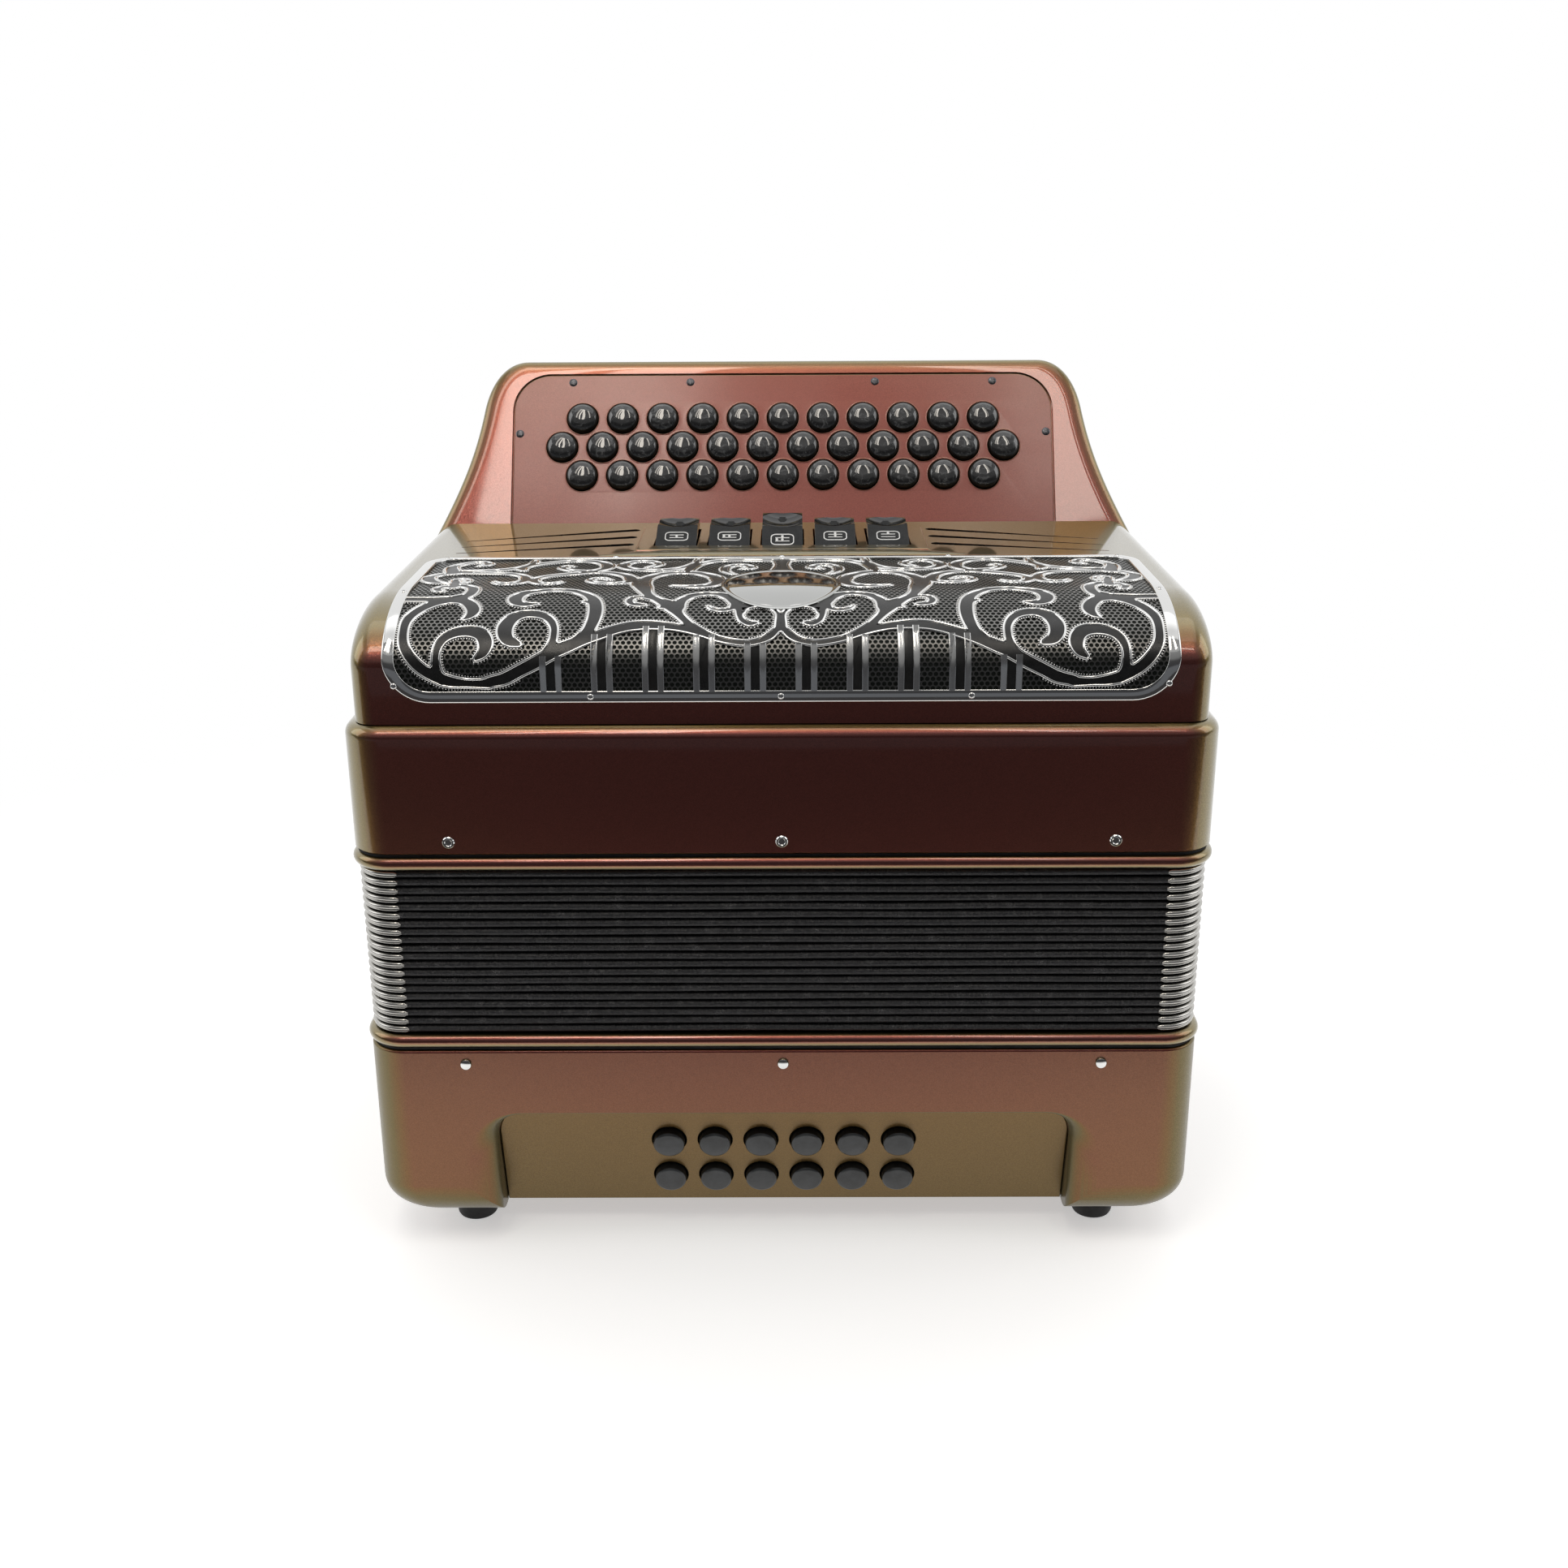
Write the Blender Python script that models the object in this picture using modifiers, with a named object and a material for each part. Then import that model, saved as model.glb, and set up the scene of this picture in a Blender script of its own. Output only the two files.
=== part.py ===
"""Diatonic accordion with a three-row treble keyboard, standing on its bass side.

X runs along the keyboard, +Y from the grille to the player, +Z up through the bellows.
All sizes are in millimetres; meshes are written in metres.
"""
import math

import bmesh
import bpy
from mathutils import Matrix, Vector
from mathutils.geometry import interpolate_bezier

MM = 0.001

# Wooden boxes and bellows, seen from above
BODY_WIDTH = 343.6
BODY_DEPTH = 222.6
CORNER_RADIUS = 16.0
LEAST_RADIUS = 1.0
BODY_WALL = 8.0
CLEARANCE = 0.3

# Heights from the floor up
FOOT_HEIGHT = 11.5
BASS_CASE_HEIGHT = 82.6
FRAME_HEIGHT = 6.7
BELLOWS_HEIGHT = 71.8
BAND_HEIGHT = 52.0
COVER_HEIGHT = 43.2

# Bass casing
BASS_WALL = 6.0
BASS_EDGE_RADIUS = 19.0
FOOT_RADIUS = 9.3
FOOT_TAPER = 0.9
FOOT_INSET_X = 35.9
FOOT_INSET_Y = 30.0

# Recess and panel of the bass buttons
RECESS_WIDTH = 241.0
RECESS_TOP = 65.0
RECESS_DEPTH = 7.0
RECESS_CORNER = 15.0
RECESS_TILT = math.radians(14)
RECESS_SURROUND = 6.5
BASS_PANEL_THICKNESS = 2.0
PANEL_LEDGE = 4.0

# Bass buttons
BASS_COLUMNS = 6
BASS_ROWS = (20.0, 40.4)
BASS_PITCH = 19.5
BASS_BUTTON_RADIUS = 6.6
BASS_BUTTON_RISE = 3.6
BUTTON_GAP = 0.7
BUTTON_STEPS = 12
HOLE_STEPS = 14

# Bellows frames, with a half-round bead outside and a tongue inside the casing
BEAD_RADIUS = 2.8
BEAD_PROUD = 1.1
FRAME_WALL = 7.0
TONGUE_HEIGHT = 13.0

# Bellows
FOLDS = 20
FOLD_DEPTH = 9.0
FOLD_WALL = 7.5
BELLOWS_INSET = 1.7
BELLOWS_CORNER_STEPS = 3

# Treble band
RIM_RADIUS = 5.0
SOUNDBOARD_THICKNESS = 5.0
SOUNDBOARD_DROP = 2.5
REED_BLOCKS = 3
REED_BLOCK_LENGTH = 276.0
REED_BLOCK_WIDTH = 20.0
REED_BLOCK_HEIGHT = 36.0
REED_BLOCK_PITCH = 44.0
BASS_REED_BLOCKS = 2
BASS_REED_BLOCK_HEIGHT = 22.0
WIND_SLOT_WALL = 5.0

# Cover over the treble action
COVER_INSET = 4.8
COVER_WALL = 3.0
COVER_EDGE_RADIUS = 9.0
NOSE_DEPTH = 45.0
NOSE_HEIGHT = 22.0

# Grille
GRILLE_SIDE = 14.0
GRILLE_THICKNESS = 1.2
GRILLE_BOTTOM = 9.0
GRILLE_GAP = 2.0
GRILLE_FRONT_CORNER = 18.0
GRILLE_BACK_CORNER = 12.0
GRILLE_BORDER = 6.0
GRILLE_TRIM = 1.0
WINDOWS = 9
WINDOW_PITCH = 19.6
WINDOW_WIDTH = 10.8
WINDOW_HEIGHT = 13.0

# Sound slots beside the registers
SLOT_ROWS = 3
SLOT_PITCH = 17.5
SLOT_INNER_X = 67.5
SLOT_SIDE = 22.4
SLOT_SETBACK = 16.6
SLOT_SPLAY = 25.5
SLOT_SPLAY_STEP = -3.5
SLOT_WIDTH = 5.6
SLOT_TIP = 0.5

# Register switches and the bezel around them
SWITCHES = 5
SWITCH_PITCH = 24.0
SWITCH_WIDTH = 18.4
SWITCH_LENGTH = 37.5
SWITCH_RISE = 7.0
SWITCH_TILT = math.radians(8.0)
SWITCH_PIVOT = -4.0
SWITCH_HOLLOW = 1.5
SWITCH_BELLY = (16.0, 5.6)
CHOSEN_SWITCH = 3
BEZEL_RISE = 1.5
BEZEL_LIP = 0.3
BEZEL_EDGE_RADIUS = 1.2
BEZEL_MARGIN = 2.8
BEZEL_WIDTH = 131.0
BEZEL_NOSE = 21.5
BEZEL_TAIL = 6.5
BEZEL_SETBACK = 19.6

# Keyboard housing, which leans back behind the cover
PANEL_SETBACK = 25.0
PANEL_LEAN = math.radians(27.9)
HOUSING_THICKNESS = 22.0
HOUSING_HEAD = 8.4
HOUSING_EDGE_RADIUS = 4.5
SHOULDER_START = 6.2
SHOULDER_SIDE = 15.1
SHOULDER_DROP = 24.6
FLARE_INSET = 3.3
FLARE_FOOT = -6.0
FLARE_BEND = ((0.48, 0.625), (0.19, 0.375))
SHOULDER_BEND = ((-2.5, 13.5), (11.7, 0.0))
HOUSING_ROOT = 52.0
HEEL_INSET = 1.0

# Keyboard plate
PLATE_SIDE = 16.175
PLATE_HEAD = 14.8
PLATE_BOTTOM = -8.0
PLATE_CORNER = 18.0
PLATE_THICKNESS = 2.2
PLATE_GROOVE = 0.8
PLATE_LEDGE = 8.0
LEVER_SPACE = 15.0
LEVER_MOUTH = 30.0

# Treble buttons
TREBLE_PITCH = 19.55
TREBLE_ROW_PITCH = 14.5
TREBLE_MIDDLE_ROW = 38.4
TREBLE_ROW_COUNTS = (11, 12, 11)
TREBLE_BUTTON_RADIUS = 7.5
TREBLE_BUTTON_RISE = 3.8
TREBLE_CROWN = ((1, 0.35), (0.72, 0.85), (0, 1))
BASS_CROWN = ((1, 0.8), (0.86, 1), (0, 1))
BUTTON_SKIRT = 3.5
STEM_RADIUS = 2.2
STEM_LENGTH = 7.0

# Levels worked out from the heights
BASS_TOP = FOOT_HEIGHT + BASS_CASE_HEIGHT
BASS_FRAME_BASE = BASS_TOP + CLEARANCE
BELLOWS_BASE = BASS_FRAME_BASE + FRAME_HEIGHT + CLEARANCE
BELLOWS_TOP = BELLOWS_BASE + BELLOWS_HEIGHT
TREBLE_FRAME_BASE = BELLOWS_TOP + CLEARANCE
BAND_BASE = TREBLE_FRAME_BASE + FRAME_HEIGHT + CLEARANCE
BAND_TOP = BAND_BASE + BAND_HEIGHT
COVER_BASE = BAND_TOP + CLEARANCE
COVER_TOP = COVER_BASE + COVER_HEIGHT

# Widths and heights that follow the body's width and the treble buttons
GRILLE_WIDTH = BODY_WIDTH - 2 * (COVER_INSET + GRILLE_SIDE)
SLOT_OUTER_X = BODY_WIDTH / 2 - COVER_INSET - SLOT_SIDE
PLATE_WIDTH = (max(TREBLE_ROW_COUNTS) - 1) * TREBLE_PITCH + 2 * (TREBLE_BUTTON_RADIUS + PLATE_SIDE)
PLATE_TOP = TREBLE_MIDDLE_ROW + TREBLE_ROW_PITCH + TREBLE_BUTTON_RADIUS + PLATE_HEAD
HOUSING_TOP = PLATE_TOP + HOUSING_HEAD
HOUSING_TOP_HALF = PLATE_WIDTH / 2 - SHOULDER_START
SHOULDER_HALF = PLATE_WIDTH / 2 + SHOULDER_SIDE
FLARE_HALF = BODY_WIDTH / 2 - FLARE_INSET

# Places from front to back, worked out from the body's back face
PANEL_FOOT = BODY_DEPTH - PANEL_SETBACK
SLOT_BACK = PANEL_FOOT - SLOT_SETBACK
BEZEL_BACK = PANEL_FOOT - BEZEL_SETBACK
SWITCH_FRONT = BEZEL_BACK - BEZEL_TAIL - SWITCH_LENGTH
BEZEL_FRONT = SWITCH_FRONT - BEZEL_NOSE
GRILLE_BACK = BEZEL_FRONT - GRILLE_GAP

# How far a cutter runs past what it cuts, the least angle of an edge that is rounded, and a quarter turn
REACH = 60.0
QUARTER = 90
SHARP_EDGE = math.radians(50)

# The origin is under the middle of the whole object's box
FRONT_END = -BEAD_PROUD
BACK_END = (
    PANEL_FOOT
    + (HOUSING_TOP - HOUSING_EDGE_RADIUS) * math.sin(PANEL_LEAN)
    + (HOUSING_THICKNESS - HOUSING_EDGE_RADIUS) * math.cos(PANEL_LEAN)
    + HOUSING_EDGE_RADIUS
)
MIDDLE_Y = (FRONT_END + BACK_END) / 2

PAINT = ("copper_paint", (0.42, 0.20, 0.14), 0.28, 0.75)
BLACK_GLOSS = ("pearl_black", (0.02, 0.02, 0.022), 0.12, 0.0)
BLACK_SATIN = ("black_plastic", (0.03, 0.033, 0.036), 0.35, 0.0)
BELLOWS_CLOTH = ("bellows_cloth", (0.02, 0.02, 0.022), 0.75, 0.0)
CHROME = ("chrome_grille", (0.55, 0.56, 0.58), 0.12, 1.0)


def clear_scene():
    """Remove what the start-up scene holds."""
    for obj in list(bpy.data.objects):
        bpy.data.objects.remove(obj, do_unlink=True)


def make_collection(name):
    """Add a collection to the scene."""
    group = bpy.data.collections.new(name)
    bpy.context.scene.collection.children.link(group)
    return group


clear_scene()
PARTS = make_collection("diatonic_accordion")
CUTTERS = make_collection("cutters")


def paint(obj, look):
    """Give a part its Principled material, made once for each look."""
    name, colour, roughness, metallic = look
    material = bpy.data.materials.get(name) or bpy.data.materials.new(name)
    material.use_nodes = True
    shader = material.node_tree.nodes["Principled BSDF"]
    shader.inputs["Base Color"].default_value = (*colour, 1)
    shader.inputs["Roughness"].default_value = roughness
    shader.inputs["Metallic"].default_value = metallic
    obj.data.materials.clear()
    obj.data.materials.append(material)


def to_world(placement):
    """Turn a placement in body millimetres, measured from the front face, into world metres."""
    result = placement.copy()
    result.translation = (placement.translation - Vector((0, MIDDLE_Y, 0))) * MM
    return result


def add_part(name, mesh, look, placement=None):
    """Add one sub-part. Its mesh is in millimetres around the placement."""
    mesh.transform(Matrix.Scale(MM, 4))
    obj = bpy.data.objects.new(name, mesh)
    obj.matrix_world = to_world(placement or Matrix())
    PARTS.objects.link(obj)
    paint(obj, look)
    return obj


def add_cutter(name, mesh, placement=None):
    """Add a Boolean's tool, which no render shows."""
    mesh.transform(Matrix.Scale(MM, 4))
    obj = bpy.data.objects.new(name, mesh)
    obj.matrix_world = to_world(placement or Matrix())
    CUTTERS.objects.link(obj)
    obj.hide_render = True
    obj.display_type = "WIRE"
    return obj


def combine(target, tool, operation):
    """Put a live Boolean on the target."""
    modifier = target.modifiers.new(tool.name, "BOOLEAN")
    modifier.operation = operation
    modifier.solver = "EXACT"
    modifier.object = tool


def round_edges(obj, radius, segments):
    """Round the sharp edges with a live Bevel."""
    modifier = obj.modifiers.new("rounded_edges", "BEVEL")
    modifier.width = radius * MM
    modifier.segments = segments
    modifier.use_clamp_overlap = False
    modifier.limit_method = "ANGLE"
    modifier.angle_limit = SHARP_EDGE


def tidy_mesh(mesh):
    """Weld a mesh's seams and turn its faces outwards."""
    bm = bmesh.new()
    bm.from_mesh(mesh)
    bmesh.ops.remove_doubles(bm, verts=bm.verts, dist=0.001)
    bmesh.ops.recalc_face_normals(bm, faces=bm.faces)
    bm.to_mesh(mesh)
    bm.free()
    return mesh


def outline_mesh(loops, low, high):
    """Fill flat loops and extrude them from low to high along Z. A loop inside another is a hole."""
    curve = bpy.data.curves.new("outline", "CURVE")
    curve.dimensions = "2D"
    curve.fill_mode = "BOTH"
    curve.extrude = (high - low) / 2
    for loop in loops:
        spline = curve.splines.new("POLY")
        spline.points.add(len(loop) - 1)
        for point, (a, b) in zip(spline.points, loop):
            point.co = (a, b, 0, 1)
        spline.use_cyclic_u = True
    holder = bpy.data.objects.new("outline", curve)
    mesh = bpy.data.meshes.new_from_object(holder)
    bpy.data.objects.remove(holder)
    bpy.data.curves.remove(curve)
    mesh.transform(Matrix.Translation((0, 0, (low + high) / 2)))
    return tidy_mesh(mesh)


def loft_mesh(rings, closed):
    """Join rings of equal point counts, closing the ends with caps or the last ring to the first."""
    bm = bmesh.new()
    rows = [[bm.verts.new(point) for point in ring] for ring in rings]
    pairs = list(zip(rows, rows[1:]))
    if closed:
        pairs.append((rows[-1], rows[0]))
    else:
        bm.faces.new(rows[0])
        bm.faces.new(rows[-1])
    for first, second in pairs:
        for here in range(len(first)):
            after = (here + 1) % len(first)
            bm.faces.new((first[here], first[after], second[after], second[here]))
    mesh = bpy.data.meshes.new("loft")
    bm.to_mesh(mesh)
    bm.free()
    return tidy_mesh(mesh)


def block_mesh(low, high):
    """A box between two corners, started from Blender's cube."""
    size = Vector(high) - Vector(low)
    middle = (Vector(high) + Vector(low)) / 2
    bm = bmesh.new()
    place = Matrix.Translation(middle) @ Matrix.Diagonal((*size, 1))
    bmesh.ops.create_cube(bm, size=1, matrix=place)
    mesh = bpy.data.meshes.new("block")
    bm.to_mesh(mesh)
    bm.free()
    return mesh


def frame_matrix(across, along, origin=(0, 0, 0)):
    """A placement whose X is across and whose Y is along."""
    across = Vector(across)
    along = Vector(along)
    turn = Matrix((across, along, across.cross(along))).transposed().to_4x4()
    return Matrix.Translation(origin) @ turn


def leaning_face(y, z, lean):
    """The placement of a face: Y runs up it, Z points out of it, and its top leans back."""
    return frame_matrix((1, 0, 0), (0, math.sin(lean), math.cos(lean)), (0, y, z))


# Outlines drawn as seen from the side, with Y then Z, and from the front, with X then Z
FROM_SIDE = frame_matrix((0, 1, 0), (0, 0, 1))
FROM_FRONT = frame_matrix((1, 0, 0), (0, 0, 1))
KEYBOARD = leaning_face(PANEL_FOOT, COVER_TOP, PANEL_LEAN)
BASS_FACE = leaning_face(RECESS_DEPTH, RECESS_TOP, -RECESS_TILT)


def arc(centre, radii, start, end, steps):
    """Points along an ellipse between two angles in degrees."""
    points = []
    for step in range(steps + 1):
        angle = math.radians(start + (end - start) * step / steps)
        points.append((centre[0] + radii[0] * math.cos(angle), centre[1] + radii[1] * math.sin(angle)))
    return points


def circle(x, y, radius, steps):
    """A closed loop of points round a circle, without its last point twice."""
    return arc((x, y), (radius, radius), 0, 360, steps)[:-1]


def rectangle(low_x, high_x, low_y, high_y):
    """The four corners of a rectangle."""
    return [(low_x, low_y), (high_x, low_y), (high_x, high_y), (low_x, high_y)]


def arched_outline(width, top, bottom, corner, steps=6):
    """An outline with two rounded top corners and a square foot."""
    side = width / 2
    right = arc((side - corner, top - corner), (corner, corner), 0, 90, steps)
    left = [(-x, y) for x, y in reversed(right)]
    return [(side, bottom)] + right + left + [(-side, bottom)]


def rounded_loop(half_x, half_y, radius, steps=5):
    """A rectangle with four rounded corners, around the origin."""
    points = []
    for corner, (side_x, side_y) in enumerate(((1, 1), (-1, 1), (-1, -1), (1, -1))):
        centre = (side_x * (half_x - radius), side_y * (half_y - radius))
        points += arc(centre, (radius, radius), QUARTER * corner, QUARTER * (corner + 1), steps)
    return points


def body_ring(inset, z, radius=None, steps=5):
    """The boxes' outline at one height, drawn in by the inset."""
    radius = radius or max(CORNER_RADIUS - inset, LEAST_RADIUS)
    loop = rounded_loop(BODY_WIDTH / 2 - inset, BODY_DEPTH / 2 - inset, radius, steps)
    return [(x, y + BODY_DEPTH / 2, z) for x, y in loop]


def wall_mesh(profile, steps=5):
    """Sweep a closed profile of inset and height round the boxes' outline."""
    return loft_mesh([body_ring(inset, z, steps=steps) for inset, z in profile], closed=True)


def turned_piece(name, profile, steps, look, placement):
    """Turn a profile of radius and height round Z with a Screw."""
    bm = bmesh.new()
    row = [bm.verts.new((radius * MM, 0, z * MM)) for radius, z in profile]
    for here, after in zip(row, row[1:]):
        bm.edges.new((here, after))
    mesh = bpy.data.meshes.new(name)
    bm.to_mesh(mesh)
    bm.free()
    obj = bpy.data.objects.new(name, mesh)
    obj.matrix_world = to_world(placement)
    PARTS.objects.link(obj)
    screw = obj.modifiers.new("turned", "SCREW")
    screw.steps = steps
    screw.render_steps = steps
    screw.use_merge_vertices = True
    screw.merge_threshold = 0.00001
    screw.use_normal_calculate = True
    screw.use_smooth_shade = True
    paint(obj, look)
    return obj


def bass_floor_rings(inset, radius):
    """Rings up the rounded floor edge of the bass casing."""
    rings = []
    for across, up in arc((0, 0), (radius, radius), 0, 90, 5):
        rings.append(body_ring(inset + radius - up, FOOT_HEIGHT + inset + radius - across, CORNER_RADIUS - inset))
    return rings


def bass_casing():
    """The bass box on four feet, with a recess for the buttons and a soundboard with reed blocks."""
    shell = bass_floor_rings(0, BASS_EDGE_RADIUS) + [body_ring(0, BASS_TOP)]
    casing = add_part("bass_casing", loft_mesh(shell, closed=False), PAINT)
    hollow = bass_floor_rings(BASS_WALL, BASS_EDGE_RADIUS - BASS_WALL) + [body_ring(BASS_WALL, BASS_TOP + REACH)]
    cavity = add_cutter("bass_cavity", loft_mesh(hollow, closed=False))
    tray_width = RECESS_WIDTH / 2 + RECESS_SURROUND
    slope = (RECESS_TOP - FOOT_HEIGHT) * math.tan(RECESS_TILT)
    tray_back = RECESS_DEPTH + slope + RECESS_SURROUND
    tray = add_cutter(
        "bass_tray",
        block_mesh((-tray_width, -REACH, 0), (tray_width, tray_back, RECESS_TOP + RECESS_SURROUND)),
    )
    combine(cavity, tray, "DIFFERENCE")
    combine(casing, cavity, "DIFFERENCE")
    seat = BASS_PANEL_THICKNESS + CLEARANCE
    depth_down = (RECESS_TOP + REACH) / math.cos(RECESS_TILT)
    recess_loop = arched_outline(RECESS_WIDTH, 0, -depth_down, RECESS_CORNER)
    combine(casing, add_cutter("bass_recess", outline_mesh([recess_loop], -seat, REACH), BASS_FACE), "DIFFERENCE")
    stem_loop = rectangle(
        -RECESS_WIDTH / 2 + PANEL_LEDGE,
        RECESS_WIDTH / 2 - PANEL_LEDGE,
        -bass_panel_drop() + PANEL_LEDGE,
        -PANEL_LEDGE,
    )
    combine(casing, add_cutter("bass_stem_opening", outline_mesh([stem_loop], -REACH, 0), BASS_FACE), "DIFFERENCE")
    board_top = BASS_TOP - TONGUE_HEIGHT - SOUNDBOARD_DROP
    board = [body_ring(BASS_WALL / 2, board_top - SOUNDBOARD_THICKNESS), body_ring(BASS_WALL / 2, board_top)]
    combine(casing, add_cutter("bass_soundboard", loft_mesh(board, closed=False)), "UNION")
    blocks, slots = reed_block_tools("bass", board_top, 1, BASS_REED_BLOCK_HEIGHT, BASS_REED_BLOCKS)
    combine(casing, blocks, "UNION")
    combine(casing, slots, "DIFFERENCE")
    for column in (-1, 1):
        for row in (-1, 1):
            name = f"foot_{'left' if column < 0 else 'right'}_{'front' if row < 0 else 'back'}"
            combine(casing, foot(name, column, row), "UNION")
    return casing


def foot(name, column, row):
    """One rubber foot, let into the casing's floor."""
    x = column * (BODY_WIDTH / 2 - FOOT_INSET_X)
    y = BODY_DEPTH / 2 + row * (BODY_DEPTH / 2 - FOOT_INSET_Y)
    height = FOOT_HEIGHT + BASS_WALL / 2
    bm = bmesh.new()
    bmesh.ops.create_cone(
        bm,
        cap_ends=True,
        segments=20,
        radius1=FOOT_RADIUS - FOOT_TAPER,
        radius2=FOOT_RADIUS + FOOT_TAPER,
        depth=height,
        matrix=Matrix.Translation((x, y, height / 2)),
    )
    mesh = bpy.data.meshes.new(name)
    bm.to_mesh(mesh)
    bm.free()
    return add_cutter(name, mesh)


def reed_block_tools(side, board_face, direction, height, count):
    """Blocks that stand on a soundboard's face, and the wind slots that pass through both."""
    blocks = []
    slots = []
    for number in range(count):
        middle = BODY_DEPTH / 2 + (number - (count - 1) / 2) * REED_BLOCK_PITCH
        half = REED_BLOCK_WIDTH / 2
        length = REED_BLOCK_LENGTH / 2
        blocks.append(rectangle(-length, length, middle - half, middle + half))
        inner = half - WIND_SLOT_WALL
        slots.append(rectangle(-length + WIND_SLOT_WALL, length - WIND_SLOT_WALL, middle - inner, middle + inner))
    root = board_face - direction * SOUNDBOARD_THICKNESS / 2
    crown = board_face + direction * height
    block_tool = add_cutter(f"{side}_reed_blocks", outline_mesh(blocks, min(root, crown), max(root, crown)))
    back = board_face - direction * (SOUNDBOARD_THICKNESS + WIND_SLOT_WALL)
    floor = crown - direction * WIND_SLOT_WALL
    slot_tool = add_cutter(f"{side}_wind_slots", outline_mesh(slots, min(back, floor), max(back, floor)))
    return block_tool, slot_tool


def bass_panel_drop():
    """How far the bass button panel runs down its slope to the casing's floor."""
    return (RECESS_TOP - FOOT_HEIGHT) / math.cos(RECESS_TILT)


def bass_button_places():
    """Row, column and place on the panel of each bass button."""
    for row, drop in enumerate(BASS_ROWS, start=1):
        for column in range(BASS_COLUMNS):
            yield row, column + 1, (column - (BASS_COLUMNS - 1) / 2) * BASS_PITCH, -drop


def bass_button_panel():
    """The sheet at the back of the recess, with a hole for each button."""
    bottom = -bass_panel_drop() + CLEARANCE
    width = RECESS_WIDTH - 2 * CLEARANCE
    sheet = arched_outline(width, -CLEARANCE, bottom, RECESS_CORNER - CLEARANCE)
    hole = BASS_BUTTON_RADIUS + BUTTON_GAP
    holes = [circle(x, y, hole, HOLE_STEPS) for _, _, x, y in bass_button_places()]
    return add_part("bass_button_panel", outline_mesh([sheet] + holes, -BASS_PANEL_THICKNESS, 0), PAINT, BASS_FACE)


def button_profile(radius, rise, crown):
    """Half section of a button: stem, head and top. The crown is the list of top points."""
    return [
        (0, -BUTTON_SKIRT - STEM_LENGTH),
        (STEM_RADIUS, -BUTTON_SKIRT - STEM_LENGTH),
        (STEM_RADIUS, -BUTTON_SKIRT),
        (radius, -BUTTON_SKIRT),
    ] + [(radius * share, rise * height) for share, height in crown]


def bass_buttons():
    """Short cylinders with a chamfered top."""
    profile = button_profile(BASS_BUTTON_RADIUS, BASS_BUTTON_RISE, BASS_CROWN)
    for row, column, x, y in bass_button_places():
        place = BASS_FACE @ Matrix.Translation((x, y, 0))
        turned_piece(f"bass_button_r{row}_{column:02d}", profile, BUTTON_STEPS, BLACK_SATIN, place)


def bellows_frame(name, wall, seat, direction):
    """A frame with a bead outside and a tongue inside its casing. It seats at one height."""
    lip = FRAME_HEIGHT - 2 * BEAD_RADIUS
    bead_middle = BEAD_RADIUS - BEAD_PROUD
    bead = arc((bead_middle, lip + BEAD_RADIUS), (-BEAD_RADIUS, BEAD_RADIUS), -90, 90, 6)
    fit = wall + CLEARANCE
    profile = [(fit, -TONGUE_HEIGHT), (fit, 0), (BEAD_PROUD, 0), (BEAD_PROUD, lip)] + bead
    profile += [(fit + FRAME_WALL, FRAME_HEIGHT), (fit + FRAME_WALL, -TONGUE_HEIGHT)]
    return add_part(name, wall_mesh([(inset, seat + direction * rise) for inset, rise in profile]), PAINT)


def bellows():
    """A folded tube, open at both ends."""
    outer = []
    for step in range(2 * FOLDS + 1):
        valley = FOLD_DEPTH if step % 2 == 0 else 0
        outer.append((BELLOWS_INSET + valley, BELLOWS_BASE + BELLOWS_HEIGHT * step / (2 * FOLDS)))
    inner = [(inset + FOLD_WALL, z) for inset, z in reversed(outer)]
    return add_part("bellows", wall_mesh(outer + inner, BELLOWS_CORNER_STEPS), BELLOWS_CLOTH)


def housing_outline():
    """The keyboard housing's outline on its leaning face, with rounded shoulders and flared sides."""
    shoulder = Vector((SHOULDER_HALF, HOUSING_TOP - SHOULDER_DROP))
    foot_point = Vector((FLARE_HALF, FLARE_FOOT))
    spread = foot_point - shoulder
    low_pull, high_pull = [shoulder + spread * Vector(bend) for bend in FLARE_BEND]
    flare = interpolate_bezier(foot_point, low_pull, high_pull, shoulder, 9)
    top_end = Vector((HOUSING_TOP_HALF, HOUSING_TOP))
    side_pull, top_pull = [Vector(bend) for bend in SHOULDER_BEND]
    corner = interpolate_bezier(shoulder, shoulder + side_pull, top_end + top_pull, top_end, 8)
    right = [(FLARE_HALF, -HOUSING_ROOT)] + [tuple(point) for point in flare + corner[1:]]
    return right + [(-x, y) for x, y in reversed(right)]


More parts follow.
